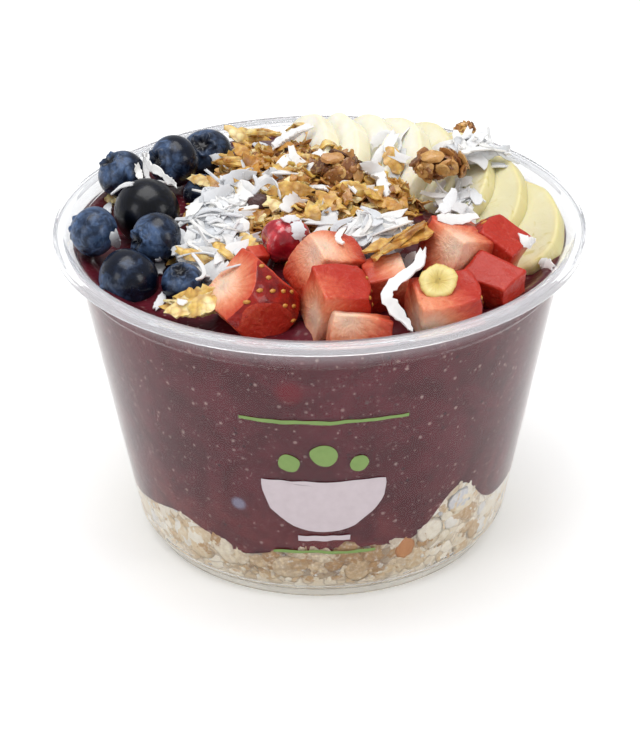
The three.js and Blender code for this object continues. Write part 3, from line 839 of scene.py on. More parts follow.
def granola_core(material):
    bm = poured(lambda angle, out: FLOOR - INTO_WALL, granola_top, 16, 20)
    for v in bm.verts:
        if v.co.z < CORNER_TOP:
            pull_in(v, corner_radius(v.co.z))
        elif v.co.xy.length > 38:
            dent = 1 - 0.02 * kept(0.5 + noise.noise(v.co / 2.1))
            v.co.x *= dent
            v.co.y *= dent
    return finished(bm, "granola_layer_core", material, ("granola_layer",), "oats")


# degrees round the wall, height, half-length, width, tone
WALL_OATS = (
    (-120, 12, 3.4, 4.0, 0.6), (-101, 9.5, 3.6, 4.2, 0.35), (-48.6, 21, 3.6, 4.4, 1.0),
    (-58, 15.5, 3.8, 4.4, 0.7), (-80, 8.5, 3.2, 4.2, 0.2),
)


def pressed_oats(material):
    """Oats and crumbs that show through the wall."""
    bm, _ = toned_mesh()
    oat, chunk = oat_pattern(0.12, 12), chunk_pattern()
    draw = random.Random(11)
    for i in range(640):
        angle = draw.uniform(-math.pi, math.pi)
        z = between(4.6, granola_top(angle, 1.0) - 0.6, draw.random() ** 0.9)
        size = draw.uniform(1.9, 4.1) * (1 if z > 8 else 0.75)
        # painted shade: oats near the front middle (angle -90 degrees) get a darker tone
        tone = kept(0.08 + draw.random() * 0.88 - 0.42 * math.exp(-(((angle + math.pi / 2) / 0.5) ** 2)))
        sunk, leaning = draw.uniform(0.25, 1.5), draw.gauss(0, 0.1)
        shape = (size, size * draw.uniform(0.8, 1.15), size)
        press(bm, oat, angle, z, shape, draw.uniform(0, math.tau), tone, sunk, leaning, i)
    for i in range(900):
        angle = draw.uniform(-math.pi, math.pi)
        z = between(4.2, granola_top(angle, 1.0) - 0.3, draw.random())
        size = draw.uniform(0.35, 1.0)
        shape = (size, size * draw.uniform(0.5, 1), size * draw.uniform(0.4, 0.8))
        twist, tone = draw.uniform(0, math.tau), draw.random()
        press(bm, chunk, angle, z, shape, twist, tone, draw.uniform(0.1, 0.9), draw.gauss(0, 0.8), i)
    for angle, z, length, width, tone in WALL_OATS:
        press(bm, oat, math.radians(angle), z, (length, width, 2), 0.4, tone, 0.15, 0, angle)
    return finished(bm, "oats_at_the_wall", material, (), "oats")


def press(bm, pattern, angle, z, shape, twist, tone, sunk, leaning, seed):
    """Lays a piece flat against the wall, its hollow side inwards, sunk a little into the layer."""
    radius = filled_radius(z) - sunk - max(0.0, 6.2 - z) * 0.5
    outward = at_angle(angle, 1, -TAPER + leaning).normalized()
    matrix = stood(at_angle(angle, radius, z), -outward, twist) @ stretch(*shape)
    hold_inside(pattern.put(bm, matrix, tone, seed, 0.1, 0.8))


def hold_inside(points):
    """Keeps points from passing through the wall."""
    for v in points:
        v.co.z = max(v.co.z, 3.3)
        pull_in(v, corner_radius(v.co.z) if v.co.z < CORNER_TOP else filled_radius(v.co.z) + 0.15)


def wall_almond(material):
    """A toasted almond piece against the wall."""
    bm, _ = toned_mesh()
    press(bm, oat_pattern(0.3, 20), math.radians(-65.7), 12.8, (3.3, 2.9, 2), math.pi / 2, 0.5, 0.1, 0, 3)
    return finished(bm, "almond_at_the_wall", material, (), "toasted_granola")


# ---------------------------------------------------------------- berries
# middle, radius, where the crown points, bloom
BLUEBERRIES = (
    ((-25.9, 36.4, 72), 6.2, (-0.15, -0.59, 0.79), 0.25),
    ((-33, 26.5, 75), 6.0, (-0.79, -0.55, 0.26), 0.5),
    ((-44.4, 19.7, 75), 5.5, (-0.57, -0.19, 0.8), 0.6),
    ((-37.8, 0.9, 74.4), 7.4, (0.3, 0.9, -0.2), 0.0),
    ((-48.6, -9.7, 75), 5.4, (-0.9, 0.3, 0.1), 1.25),
    ((-34.9, -12.4, 74.5), 5.7, (-0.81, -0.56, 0.14), 0.6),
    ((-40.5, -22.9, 70), 6.7, (-0.75, -0.45, -0.5), 0.35),
    ((-28.9, -26, 70.5), 4.6, (-0.1, -0.35, 0.93), 0.45),
    ((-25.6, 14.5, 72), 4.9, (0.1, 0.3, 0.9), 0.4),
)
DARK_BERRY = 4


def blueberry(number, place, radius, crown, bloom, material):
    bm = ball(48, 56)
    layer, tone = kept_number(bm, "crown"), kept_number(bm, "tone")
    for v in bm.verts:
        polar = math.acos(kept(v.co.z, -1, 1))
        # rows crowd towards the crown, where the star is
        polar = math.pi * (polar / math.pi) ** 1.35
        turn = math.atan2(v.co.y, v.co.x)
        star = 0.4 * (1 + 0.2 * math.cos(5 * turn + 0.4 * math.sin(2 * turn)))
        inside = eased((star - polar) / (star * 0.7))
        points = 0.07 + 0.045 * math.cos(5 * turn) + 0.02 * math.sin(13 * turn)
        reach = 1 - 0.15 * inside + math.exp(-(((polar - star) / 0.075) ** 2)) * points
        v.co = at_angle(turn, math.sin(polar), math.cos(polar) * 0.92) * reach
        v.co += noise.noise_vector(v.co * 0.9 + Vector((number * 3.1, 0, 0))) * 0.035
        v[layer] = polar / math.pi
        v[tone] = bloom
    moved(bm, stood(place, crown, number * 1.3) @ Matrix.Scale(radius, 4))
    slot = "dark_berry_skin" if number == DARK_BERRY else "blueberry_skin"
    return finished(bm, f"blueberry_whole_{number}", material, (f"blueberry_{number}",), slot)


def red_berry(material):
    bm = ball(48, 40)
    for v in bm.verts:
        turn = math.atan2(v.co.y, v.co.x)
        lobes = 0.09 * math.cos(5 * turn) * (1 - v.co.z * v.co.z)
        dimple = 0.16 * math.exp(-((1 - v.co.z) / 0.06))
        v.co *= 1 + lobes - dimple
        v.co += noise.noise_vector(v.co * 1.6) * 0.05
    moved(bm, stood((-7.1, -18.1, 76.6), (0.1, -0.3, 1)) @ stretch(5.0, 5.0, 5.25))
    return finished(bm, "red_berry_whole", material, ("red_berry",), "red_berry_skin")


# ---------------------------------------------------------------- strawberries
BODY_RADIUS, BODY_LENGTH = 12.0, 1.25
# place, size, turn, where the skin faces, how far out it is, where the pale core lies from the middle
STRAWBERRIES = (
    ((-13.6, -38.4, 72.6), (14, 14, 13), (0, -40, 28), (0.5, -0.55, 0.6), 7.2, (-6, 0, 3)),
    ((4.3, -39.6, 72.5), (13, 11, 12), (15, 10, 20), (0.96, 0.1, 0.2), 6.2, (-7, -5, -1)),
    ((0.9, -27.6, 75.3), (12, 11, 12), (20, 20, 35), (-0.34, 0.8, 0.49), 5.6, (-1, -4, 5)),
    ((8, -47.3, 70), (13, 4, 7), (-15, 12, 8), (-0.19, 0.95, -0.25), 9, (-3, 0, 4)),
    ((14, -31, 71.8), (9, 8, 11), (10, -10, 10), (-0.01, 0.74, -0.67), 6.5, (5, 0, 6)),
    ((28.6, -21.8, 75.2), (12, 12, 11), (10, 20, 40), (-0.9, -0.44, 0.0), 7.0, (0, -6, 4)),
    ((36.2, -18.2, 74.6), (13, 9, 11), (5, 25, -32), (-0.35, 0.1, 0.93), 4.6, (3, -2, -8)),
    ((36.2, -30.2, 71.9), (11, 8, 8), (20, 10, -35), (-0.05, -0.75, 0.66), 6.4, (0, 6, -8)),
    ((26.2, -39.2, 71.8), (15, 10, 8), (15, 0, 18), (0.97, 0.05, 0.22), 7.2, (-5, -5, -2)),
    ((-13.6, -21, 73.6), (4, 4, 5), (20, 10, 30), (0.82, 0.2, 0.53), 2.4, (-9, 0, 0)),
)
ROUNDING = 0.55


def cut_matrix(place, turn):
    return Matrix.Translation(place) @ Euler([math.radians(a) for a in turn], "XYZ").to_matrix().to_4x4()


def seed_spots(centre, half):
    """Where seeds sit on the skin that a cut piece has kept."""
    spots = []
    golden = math.pi * (3 - math.sqrt(5))
    count = 240
    for i in range(count):
        z = 1 - 2 * (i + 0.5) / count
        way = at_angle(golden * i, math.sqrt(1 - z * z), z)
        spot = centre + Vector((way.x * BODY_RADIUS, way.y * BODY_RADIUS, way.z * BODY_RADIUS * BODY_LENGTH))
        if all(abs(spot[k]) < half[k] - 0.3 for k in range(3)):
            spots.append((spot, Vector((way.x, way.y, way.z / BODY_LENGTH)).normalized()))
    return spots


def strawberry(number, place, size, turn, skin_faces, skin_at, core, material, seeds):
    """A piece cut from a berry: flat cut faces, and the round skin where it reaches that."""
    bm = bmesh.new()
    bmesh.ops.create_cube(bm, size=2)
    bmesh.ops.subdivide_edges(bm, edges=bm.edges, cuts=23, use_grid_fill=True)
    matrix = cut_matrix(place, turn)
    to_piece = matrix.to_3x3().transposed()
    half = Vector(size) / 2
    centre = (to_piece @ Vector(skin_faces)).normalized() * (skin_at - BODY_RADIUS)
    core = to_piece @ Vector(core)
    depth, skin = kept_number(bm, "depth"), kept_number(bm, "skin")
    berry = bm.verts.layers.float_vector.new("berry")
    spots = seed_spots(centre, half)
    for v in bm.verts:
        v.co = Vector([math.sin(c * math.pi / 2) * h for c, h in zip(v.co, half)])
        inner = Vector([kept(c, -(h - ROUNDING), h - ROUNDING) for c, h in zip(v.co, half)])
        edge = v.co - inner
        if edge.length > ROUNDING:
            v.co = inner + edge.normalized() * ROUNDING
        v.co += noise.noise_vector(v.co / 6 + Vector((number * 2.7, 0, 0))) * 0.6
        v.co += noise.noise_vector(v.co / 1.8 + Vector((number * 1.3, 5, 0))) * 0.12
        away = v.co - centre
        far = Vector((away.x, away.y, away.z / BODY_LENGTH)).length / BODY_RADIUS
        v[skin] = eased((far - 0.985) / 0.05)
        if far > 1:
            v.co = centre + away / far
            nearest = min((v.co - spot).length for spot, _ in spots) if spots else 9
            v.co -= away.normalized() * 0.3 * math.exp(-((nearest / 0.9) ** 2))
        from_core = v.co - core
        v[depth] = kept(from_core.length / BODY_RADIUS)
        v[berry] = from_core / BODY_RADIUS
    moved(bm, matrix)
    for spot, normal in spots:
        seeds.append(matrix @ Matrix.Translation(spot - normal * 0.2) @ aim(normal, 0.7))
    return finished(bm, f"strawberry_cut_{number}", material, (f"strawberry_{number}",), "strawberry_flesh")


def strawberry_seeds(places, material):
    bm, _ = toned_mesh()
    seed = chunk_pattern()
    for i, matrix in enumerate(places):
        seed.put(bm, matrix @ stretch(0.5, 0.95, 0.34), 0.5, i, 0.05, 1.0)
    return finished(bm, "strawberry_seeds", material, (), "strawberry_flesh")


# ---------------------------------------------------------------- banana
SLICES = 8


def slice_profile(thick, rings=14):
    """Half the outline of a slice, with soft edges."""
    lower = [(i / rings, -thick) for i in range(rings)] + [(0.975, -thick * 0.96), (0.993, -thick * 0.75)]
    return lower + [(1.0, 0)] + [(out, -z) for out, z in reversed(lower)]


def banana_slice(number, material):
    """One slice of the fan: the first ones stand steeper, the last ones lie flatter and carry more painted
    shade.
    """
    t = number / (SLICES - 1)
    at = Vector((between(-3, 42.5, t), between(27, 0, t ** 3.5), between(73.3, 69.3, t ** 4)))
    face = Vector((between(-0.75, -0.5, t), -0.2, between(0.6, 0.85, t))).normalized()
    long_way = Vector((between(0, 0.25, t), -1, between(-0.2, -0.1, t)))
    across = face.cross(long_way).normalized()
    along = across.cross(face).normalized()
    grown = between(0.9, 1.02, t)
    bm = lathe(slice_profile(4.3 / 2), 72)
    out_layer, banana_shading = kept_number(bm, "out"), kept_number(bm, "tone")
    slice_layer = bm.verts.layers.float_vector.new("slice")
    for v in bm.verts:
        out = v.co.xy.length
        v[out_layer] = out
        # painted shade, rising along the fan towards its last slices
        v[banana_shading] = eased((t - 0.3) * 1.8)
        v[slice_layer] = at_angle(math.atan2(v.co.y, v.co.x), 1, out)
        v.co.z *= 1 - 0.06 * out ** 3
        v.co.x *= 17 * grown
        v.co.y *= 11 * grown
        v.co += noise.noise_vector(v.co / 7 + Vector((number * 5.0, 0, 0))) * 0.5
    moved(bm, Matrix.Translation(at) @ Matrix((along, across, face)).transposed().to_4x4())
    return finished(bm, f"banana_slice_{number + 1}", material, (f"banana_{number + 1}",), "banana_flesh")


# ---------------------------------------------------------------- granola on top
def mound(name, node, slot, place, size, tilt, rough, shrink, material):
    """The core of a heap: a low mound with crumbly relief."""
    bm = ball(64, 40)
    for v in bm.verts:
        v.co = Vector([c * s / 2 * shrink for c, s in zip(v.co, size)])
    crumple(bm.verts, 5, rough, 1.7)
    crumple(bm.verts, 2, rough * 0.5, 4.1)
    moved(bm, Matrix.Translation(place) @ Matrix.Rotation(math.radians(tilt), 4, "X"))
    return finished(bm, name, material, (node,), slot)


def lay_flake(bm, pattern, place, normal, size, tone, draw, seed, lift, lean):
    """Lays one piece on a place, tipped a little at random."""
    facing = (normal + Vector((0, 0, 0.6)) + jitter(draw, lean)).normalized()
    matrix = stood(place + facing * lift, facing, draw.uniform(0, math.tau))
    matrix = matrix @ stretch(size, size * draw.uniform(0.75, 1.1), size * draw.uniform(0.8, 1.2))
    pattern.put(bm, matrix, tone, seed, 0.1, 0.9)


def strewn_spots(ground, draw, count, wanted):
    """Random places on the heap, where one of the wanted pieces lies on top."""
    for i in range(count):
        angle, far = draw.uniform(0, math.tau), math.sqrt(draw.random())
        place, normal, owner = ground.under(-3 + 26 * far * math.cos(angle), 12 + 28 * far * math.sin(angle))
        if owner in wanted:
            yield i, place, normal


def toasted_flakes(ground, material):
    """Loose toasted oats and crumbs over the heap."""
    bm, _ = toned_mesh()
    draw = random.Random(5)
    oats = oat_pattern(0.13, 12), oat_pattern(0.18, 12), curled_pattern(0.2, 0.35, 2)
    crumbs = chunk_pattern()
    for i, place, normal in strewn_spots(ground, draw, 900, ("granola_heap_core", "acai_puree")):
        tone = kept(draw.gauss(0.5, 0.24))
        if draw.random() < 0.4:
            size, lift = draw.uniform(0.4, 1.5), draw.uniform(0, 1.0)
            lay_flake(bm, crumbs, place, normal, size, tone, draw, i, lift, 1.0)
        else:
            kind, size, lift = draw.choice(oats), draw.uniform(1.6, 3.0), draw.uniform(0.2, 1.6)
            lay_flake(bm, kind, place, normal, size, tone, draw, i, lift, 0.4)
    return finished(bm, "toasted_flakes", material, (), "toasted_granola", CRISP)


def golden_flakes(ground, material):
    """Larger thin curled flakes, golden with honey, on top of the oats."""
    bm, _ = toned_mesh()
    draw = random.Random(15)
    shapes = ((0.25, 0.6), (-0.3, 0.45), (0.4, 0.75), (0.15, 0.3))
    kinds = [curled_pattern(curl, slim, seed) for seed, (curl, slim) in enumerate(shapes)]
    wanted = "granola_heap_core", "toasted_flakes", "acai_puree"
    for i, place, normal in strewn_spots(ground, draw, 300, wanted):
        tone = kept(draw.gauss(0.6, 0.25))
        kind, size, lift = draw.choice(kinds), draw.uniform(1.5, 3.2), draw.uniform(0.2, 1.2)
        lay_flake(bm, kind, place, normal, size, tone, draw, i, lift, 0.35)
    return finished(bm, "golden_flakes", material, (), "toasted_granola", CRISP)


# place, size, tone, count of flakes, seed
CLUSTERS = {
    "cluster_middle": ((4.7, 8, 81), (11, 8, 7), 0.25, 70, 3),
    "cluster_right": ((26.8, 9.5, 80.8), (12, 7, 6), 0.36, 70, 4),
    "bit_back": ((34.0, 33, 79.2), (4.6, 3.6, 3.4), 0.4, 24, 6),
}


def cluster(name, place, size, tone, count, seed, material):
    """A baked lump of flakes stuck together, with one flat on its top."""
    draw = random.Random(seed)
    bm, _ = toned_mesh()
    oats = oat_pattern(0.15, 12), oat_pattern(0.2, 12), curled_pattern(0.2, 0.45, 5)
    crumb = chunk_pattern()
    half = Vector(size) / 2
    core = Matrix.Translation(place) @ stretch(half.x * 0.8, half.y * 0.8, half.z * 0.8)
    crumb.put(bm, core, tone * 0.6, seed, 0.2, 0.7)
    for i in range(count):
        way = jitter(draw, 1).normalized()
        way.z = abs(way.z) if draw.random() < 0.7 else way.z
        spot = Vector(place) + Vector([w * h * draw.uniform(0.72, 0.95) for w, h in zip(way, half)])
        if draw.random() < 0.45:
            kind, scale = crumb, draw.uniform(0.4, 1.3)
        else:
            kind, scale = draw.choice(oats), draw.uniform(1.5, 2.7)
        scale = min(scale, half.x * 0.55)
        facing = (way + jitter(draw, 0.3)).normalized()
        matrix = stood(spot, facing, draw.uniform(0, 6.3)) @ Matrix.Scale(scale, 4)
        kind.put(bm, matrix, kept(draw.gauss(tone, 0.2)), seed + i * 0.37, 0.12, 0.8)
    top = Vector(place) + Vector((-half.x * 0.3, -half.y * 0.4, half.z * 0.95))
    wide = half.x * 0.46
    flat = stood(top, (-0.1, -0.3, 1), 0.3) @ stretch(wide, wide * 0.8, wide * 1.3)
    oats[1].put(bm, flat, kept(tone + 0.2), seed, 0.2, 0.7)
    return finished(bm, name, material, (f"granola_{name}",), "toasted_granola", CRISP)


# points along the middle, width, thickness, tone, seed, how far the front edge is tipped up
CHIPS = {
    "chip_long": (
        [(10.4, -32, 78.2), (15, -27.5, 79.6), (20, -22.5, 80.4), (24, -18, 80.2)],
        10, 1.4, 0.5, 2, 0.5,
    ),
    "chip_front": (
        [(-31.5, -37, 70.4), (-27, -38.4, 71.4), (-22.5, -38.6, 73), (-19.6, -38.6, 74)],
        10, 1.4, 0.6, 5, -0.4,
    ),
    "chip_back": ([(-20, 33.5, 77.6), (-14, 34, 78.6), (-8, 31, 79)], 4.5, 1.4, 0.76, 7, 0.5),
    "chip_left": ([(-23.5, 17.8, 78.4), (-19.5, 15.5, 79.4), (-15.6, 12.5, 79.6)], 5, 1.6, 0.42, 8, 0.5),
}


def chip(name, path, width, thick, tone, seed, tip, material):
    """A thin baked chip of golden splinters stuck together."""
    bm, layer = toned_mesh()
    draw = random.Random(seed)
    line = curve_through(path, 30)
    across = Vector((0.3, -1, tip))
    for k in range(7):
        start = draw.randint(0, 9)
        end = draw.randint(start + 12, 30)
        drift = Vector((draw.gauss(0, 0.12), draw.gauss(0, 0.3), draw.gauss(0, 0.1))) * width * 0.6
        part = [p + drift * (0.6 + 0.4 * math.sin(0.2 * i + k)) for i, p in enumerate(line[start:end])]
        lean = (across + jitter(draw, 0.22)).normalized()
        wide, shade = width * draw.uniform(0.3, 0.65), kept(draw.gauss(tone, 0.16))
        ribbon(bm, part, wide, seed * 10 + k, lean, 0.14, 0.6, 0.15, shade)
    thickened(bm, thick * 0.4)
    crumple(bm.verts, 2.2, 0.3, seed + 3)
    mottle(bm, layer, 2.0)
    return finished(bm, name, material, (f"granola_{name}",), "toasted_granola", CRISP)


def oat_disc(material):
    """A thin dried slice: pale, with a ragged rim and a seeded middle."""
    radius = 3.8
    face = [(3.5, 0.3), (3.0, 0.5), (2.2, 0.3), (1.4, 0.35), (0.7, 0.1), (0, 0.0)]
    bm = lathe([(0, -0.45), (2.6, -0.5), (3.5, -0.3), (radius, 0)] + face, 44)
    layer = kept_number(bm, "out")
    spoke = bm.verts.layers.float_vector.new("slice")
    for v in bm.verts:
        angle = math.atan2(v.co.y, v.co.x)
        out = v.co.xy.length / radius
        v[layer] = out
        v[spoke] = at_angle(angle, 1, out)
        wavy = 0.07 * math.sin(2 * angle + 1) + 0.03 * math.sin(5 * angle) + 0.02 * math.sin(13 * angle)
        v.co.xy *= 1 + out * wavy
        v.co.z += 0.12 * math.sin(5 * angle) * out + 0.25 * (v.co.x / radius) ** 2
    moved(bm, stood((24.2, -40.2, 77.6), (0.1, -0.75, 0.65)))
    return finished(bm, "dried_disc", material, ("oat_flake",), "oats")


def raisin(material):
    bm = ball(32, 24)
    for v in bm.verts:
        v.co *= 1 + 0.16 * noise.turbulence(v.co * 2.2, 2, True)
    moved(bm, Matrix.Translation((-13, -1.6, 77.4)) @ stretch(2.7, 2.0, 2.0))
    return finished(bm, "raisin_dried", material, ("raisin",), "raisin_skin")


# ---------------------------------------------------------------- coconut
# points along the middle, width
STRANDS = {
    "right": (
        [(21.5, -30.1, 80), (19.4, -37.6, 79.2), (13.6, -43.3, 77.5), (15.6, -46.7, 74), (18.4, -48.4, 70.8)],
        2.3,
    ),
    "left": ([(-39.9, 22.2, 78.8), (-37.5, 9, 82), (-33.5, 2.4, 82), (-31.4, 1.1, 80.6)], 1.4),
    "back": ([(-10.3, 23.1, 80), (-6.5, 26, 81.6), (-2.1, 29.1, 82)], 2.2),
    "middle": ([(0.8, 17.3, 80.8), (-2, 10, 80.4), (-4.4, 3.3, 79)], 2.2),
    "wavy": (
        [(-2.2, 2.8, 79.2), (1.2, 1.8, 79.7), (3.4, 1.4, 79.3), (5.7, 2.5, 80.7), (7.9, -1.1, 79.7)],
        1.4,
    ),
    "curl": ([(9.6, 10.6, 80), (13.4, 6.9, 80.2), (14.9, 0.8, 78)], 2.2),
}
SHRED_THICK = 0.34


def strand(name, path, width, material):
    bm = bmesh.new()
    seed = len(name)
    ribbon(bm, curve_through(path, 26), width, seed * 3, None, 0.45, 0.5, 0.2, 0.7)
    thickened(bm, 0.4)
    crumple(bm.verts, 1.8, 0.4, seed)
    return finished(bm, f"coconut_shred_{name}", material, (f"coconut_strand_{name}",), "coconut", CRISP)


def shred_path(middle, heading, normal, length, curl, bow, steps=7):
    """Points of a shred that curves to one side and bows up in its middle."""
    side = normal.cross(heading)
    path = []
    for i in range(steps + 1):
        t = 2 * i / steps - 1
        bend = t * t - 0.33
        path.append(middle + (heading * t + side * curl * bend - normal * bow * bend) * length / 2)
    return path


def lay_shred(bm, place, normal, draw, seed, lift, long_way=None):
    """Lays one shred on a place: broad and flat, or thin and curled."""
    facing = (normal * 0.6 + Vector((0, -0.25, 1)) + jitter(draw, 0.22)).normalized()
    heading = Vector((draw.gauss(0, 1), draw.gauss(0, 1), draw.gauss(0, 0.3)))
    if long_way:
        heading = heading * 0.45 + long_way
    heading = (heading - facing * heading.dot(facing)).normalized()
    if draw.random() < 0.55:
        length, width = draw.uniform(4.5, 9.5), draw.uniform(1.7, 2.9)
        curl, bow = draw.gauss(0, 0.3), draw.gauss(0.1, 0.2)
    else:
        length, width = draw.uniform(5, 11), draw.uniform(0.8, 1.4)
        curl, bow = draw.gauss(0, 0.7), draw.gauss(0.1, 0.35)
    path = shred_path(place + facing * lift, heading, facing, length, curl, bow)
    if max(p.xy.length for p in path) < WITHIN_RIM:
        ribbon(bm, path, width, seed, facing.cross(heading), 0.24, 0.3, draw.uniform(-0.1, 0.2))


# place, size, tilt in degrees, count of shreds, seed
COCONUT_HEAPS = {
    "left": ((-22, -10, 73), (17, 38, 12), 12, 92, 21),
    "middle": ((12.5, -17, 76), (17, 10, 9), 0, 44, 22),
    "right": ((33.6, 17, 80.5), (16, 8, 5), 0, 24, 23),
}


def coconut_heap(name, place, size, tilt, count, seed, ground, material):
    """Flat ragged flakes and thin curled shreds, spreading from the middle of the heap over its core."""
    draw = random.Random(seed)
    bm = bmesh.new()
    for i in range(count):
        angle, far = draw.uniform(0, math.tau), math.sqrt(draw.random())
        away = Vector((math.cos(angle), math.sin(angle) * math.cos(math.radians(tilt)), 0))
        x, y = place[0] + size[0] * 0.47 * far * away.x, place[1] + size[1] * 0.5 * far * away.y
        hit, normal, _ = ground.under(x, y)
        if hit is not None and hit.z > LOWEST_SHRED:
            lay_shred(bm, hit, normal, draw, seed * 100 + i, draw.uniform(0.1, 1.1), away * far * 0.7)
    thickened(bm, SHRED_THICK)
    return finished(bm, f"coconut_{name}", material, (), "coconut", CRISP)


# middle pixel, reach in pixels, count of shreds
STREWN_WHITE = (
    ((459, 198), (20, 20), 18), ((262, 186), (28, 12), 8), ((398, 160), (26, 28), 3),
    ((214, 262), (24, 22), 6), ((290, 172), (14, 18), 3), ((352, 226), (44, 14), 17),
)


def strewn_coconut(ground, material):
    """Loose shreds lying where each is seen."""
    bm = bmesh.new()
    draw = random.Random(31)
    for k, (middle, reach, count) in enumerate(STREWN_WHITE):
        for i in range(count):
            angle, far = draw.uniform(0, math.tau), math.sqrt(draw.random())
            x, y = reach[0] * far * math.cos(angle), reach[1] * far * math.sin(angle)
            place, normal, _ = ground.seen_at((middle[0] + x, middle[1] + y))
            if place is not None:
                lay_shred(bm, place, normal, draw, k * 100 + i + 7, draw.uniform(0.3, 1.2))
    thickened(bm, SHRED_THICK)
    return finished(bm, "coconut_strewn", material, (), "coconut", CRISP)


# ---------------------------------------------------------------- loose bits, each by where it is seen
# Each lies on whatever the lines of sight meet: its width, then x and y of the pixels along its middle.
SEEN_SHREDS = (
    (1.5, 145, 155, 144, 166, 148, 182, 160, 184, 172, 188), (1.2, 134, 186, 124, 188, 112, 196),
    (1.6, 136, 166, 138, 174, 141, 182), (2.2, 108, 206, 107, 213, 106, 222),
    (2.4, 112, 232, 113, 240, 118, 248), (2.2, 158, 258, 160, 265, 160, 276),
    (1.8, 164, 296, 160, 304, 155, 311), (1.4, 178, 303, 183, 305, 188, 304),
    (2.6, 213, 156, 222, 163, 235, 173), (3.2, 252, 142, 264, 150, 272, 160, 276, 174),
    (3.0, 273, 148, 291, 138, 309, 127), (2.6, 322, 152, 312, 166, 299, 186),
    (3.0, 361, 166, 376, 172, 386, 193), (4.6, 283, 212, 292, 205, 301, 199),
    (3.4, 297, 223, 297, 232, 298, 242), (1.8, 283, 222, 290, 221, 297, 221),
    (2.8, 222, 184, 236, 178, 256, 176), (2.8, 438, 216, 447, 205, 453, 192),
    (3.0, 452, 214, 462, 204, 468, 190), (3.4, 204, 200, 218, 196, 232, 190),
    (5.0, 206, 268, 218, 272, 232, 274), (2.4, 236, 252, 248, 262, 262, 270),
    (2.6, 520, 240, 527, 244, 534, 243), (2.8, 540, 262, 546, 266, 553, 270),
    (3.0, 336, 214, 326, 228, 314, 240), (2.6, 384, 150, 378, 160, 374, 176),
    (2.4, 404, 150, 398, 168, 390, 184), (2.6, 350, 190, 362, 192, 374, 190),
    (2.8, 370, 148, 382, 140, 394, 135), (2.8, 436, 220, 456, 222, 478, 218),
)
# The same, with the tone after the width.
SEEN_GOLDEN = (
    (3.2, 0.86, 193, 180, 202, 183, 211, 188), (3.4, 0.5, 232, 182, 240, 177, 248, 171),
    (2.6, 0.95, 105, 200, 110, 202, 114, 206), (3.0, 0.74, 166, 262, 176, 259, 186, 257),
    (4.4, 0.8, 226, 129, 240, 136, 256, 138, 270, 137), (4.6, 0.4, 236, 148, 250, 156, 262, 166),
    (4.0, 0.3, 243, 160, 252, 168, 262, 172), (2.6, 0.75, 290, 132, 300, 126, 310, 132, 308, 144, 298, 146),
    (2.2, 0.72, 321, 152, 326, 145, 334, 148, 334, 156), (4.6, 0.8, 296, 156, 304, 166, 312, 178),
    (3.6, 0.72, 285, 160, 290, 172, 296, 184), (5.0, 0.62, 389, 150, 394, 162, 396, 176),
    (4.4, 0.98, 267, 200, 274, 206, 280, 214), (3.4, 0.62, 268, 192, 290, 190, 312, 194),
    (4.0, 0.5, 320, 196, 330, 204, 340, 210), (3.0, 0.66, 338, 186, 360, 192, 382, 196),
    (3.2, 0.4, 372, 202, 388, 206, 402, 212), (3.6, 0.66, 310, 206, 314, 216, 318, 226),
    (3.0, 0.34, 398, 196, 410, 206, 416, 216), (3.2, 0.7, 180, 252, 196, 258, 212, 262),
    (3.0, 0.62, 214, 244, 224, 252, 234, 262), (3.2, 0.82, 240, 236, 250, 246, 256, 256),
    (2.6, 0.5, 224, 266, 234, 270, 244, 268), (2.8, 0.42, 402, 196, 402, 210, 406, 226),
)
SHRED_SEED, GOLDEN_SEED = 300, 400
SEEN_LIFT = 0.5


def seen_path(pixels, ground):
    """Points where lines of sight meet what lies there, without jumps. One that meets nothing overhangs."""
    hits = [ground.seen_at(pixel)[:2] for pixel in pixels]
    depth = next((place - CAMERA_AT).length for place, _ in hits if place is not None)
    path = []
    for pixel, (place, normal) in zip(pixels, hits):
        far = depth if place is None else (place - CAMERA_AT).length
        if abs(far - depth) > 5:
            far = depth + math.copysign(3, far - depth)
        depth = far
        upward = ((normal or Vector()) + Vector((0, 0, 1))).normalized()
        path.append(CAMERA_AT + sight(pixel) * far + upward * SEEN_LIFT)
    return path


def seen_ribbon(bm, ground, numbers, steps, raised, width, seed, *shape):
    """A strip through pixels, its broad side to the camera and a little up."""
    path = seen_path(list(zip(numbers[::2], numbers[1::2])), ground)
    facing = (CAMERA_AT - path[0]).normalized() + Vector((0, 0, raised))
    lean = (path[-1] - path[0]).cross(facing).normalized()
    ribbon(bm, curve_through(path, steps), width * 0.85, seed, lean, *shape)


def seen_shreds(ground, material):
    bm = bmesh.new()
    for i, (width, *numbers) in enumerate(SEEN_SHREDS):
        seen_ribbon(bm, ground, numbers, 12, 0.5, width, SHRED_SEED + i, 0.3, 0.45, 0.2)
    thickened(bm, 0.36)
    return finished(bm, "coconut_loose", material, (), "coconut", CRISP)


def seen_golden(ground, material):
    bm, layer = toned_mesh()
    for i, (width, tone, *numbers) in enumerate(SEEN_GOLDEN):
        seen_ribbon(bm, ground, numbers, 10, 0.6, width, GOLDEN_SEED + i, 0.34, 0.6, 0.3, tone)
    thickened(bm, 0.45)
    crumple(bm.verts, 2.0, 0.3, 9)
    mottle(bm, layer, 1.8)
    return finished(bm, "toasted_loose", material, (), "toasted_granola", CRISP)


# ---------------------------------------------------------------- print on the wall
def on_wall(points, lift=0.06):
    """Lays flat points on the wall: x goes round it, y up it."""
    for v in points:
        angle = -math.pi / 2 + v.co.x / PRINT_RADIUS
        v.co = at_angle(angle, outer_wall(v.co.y) + lift + v.co.z, v.co.y)


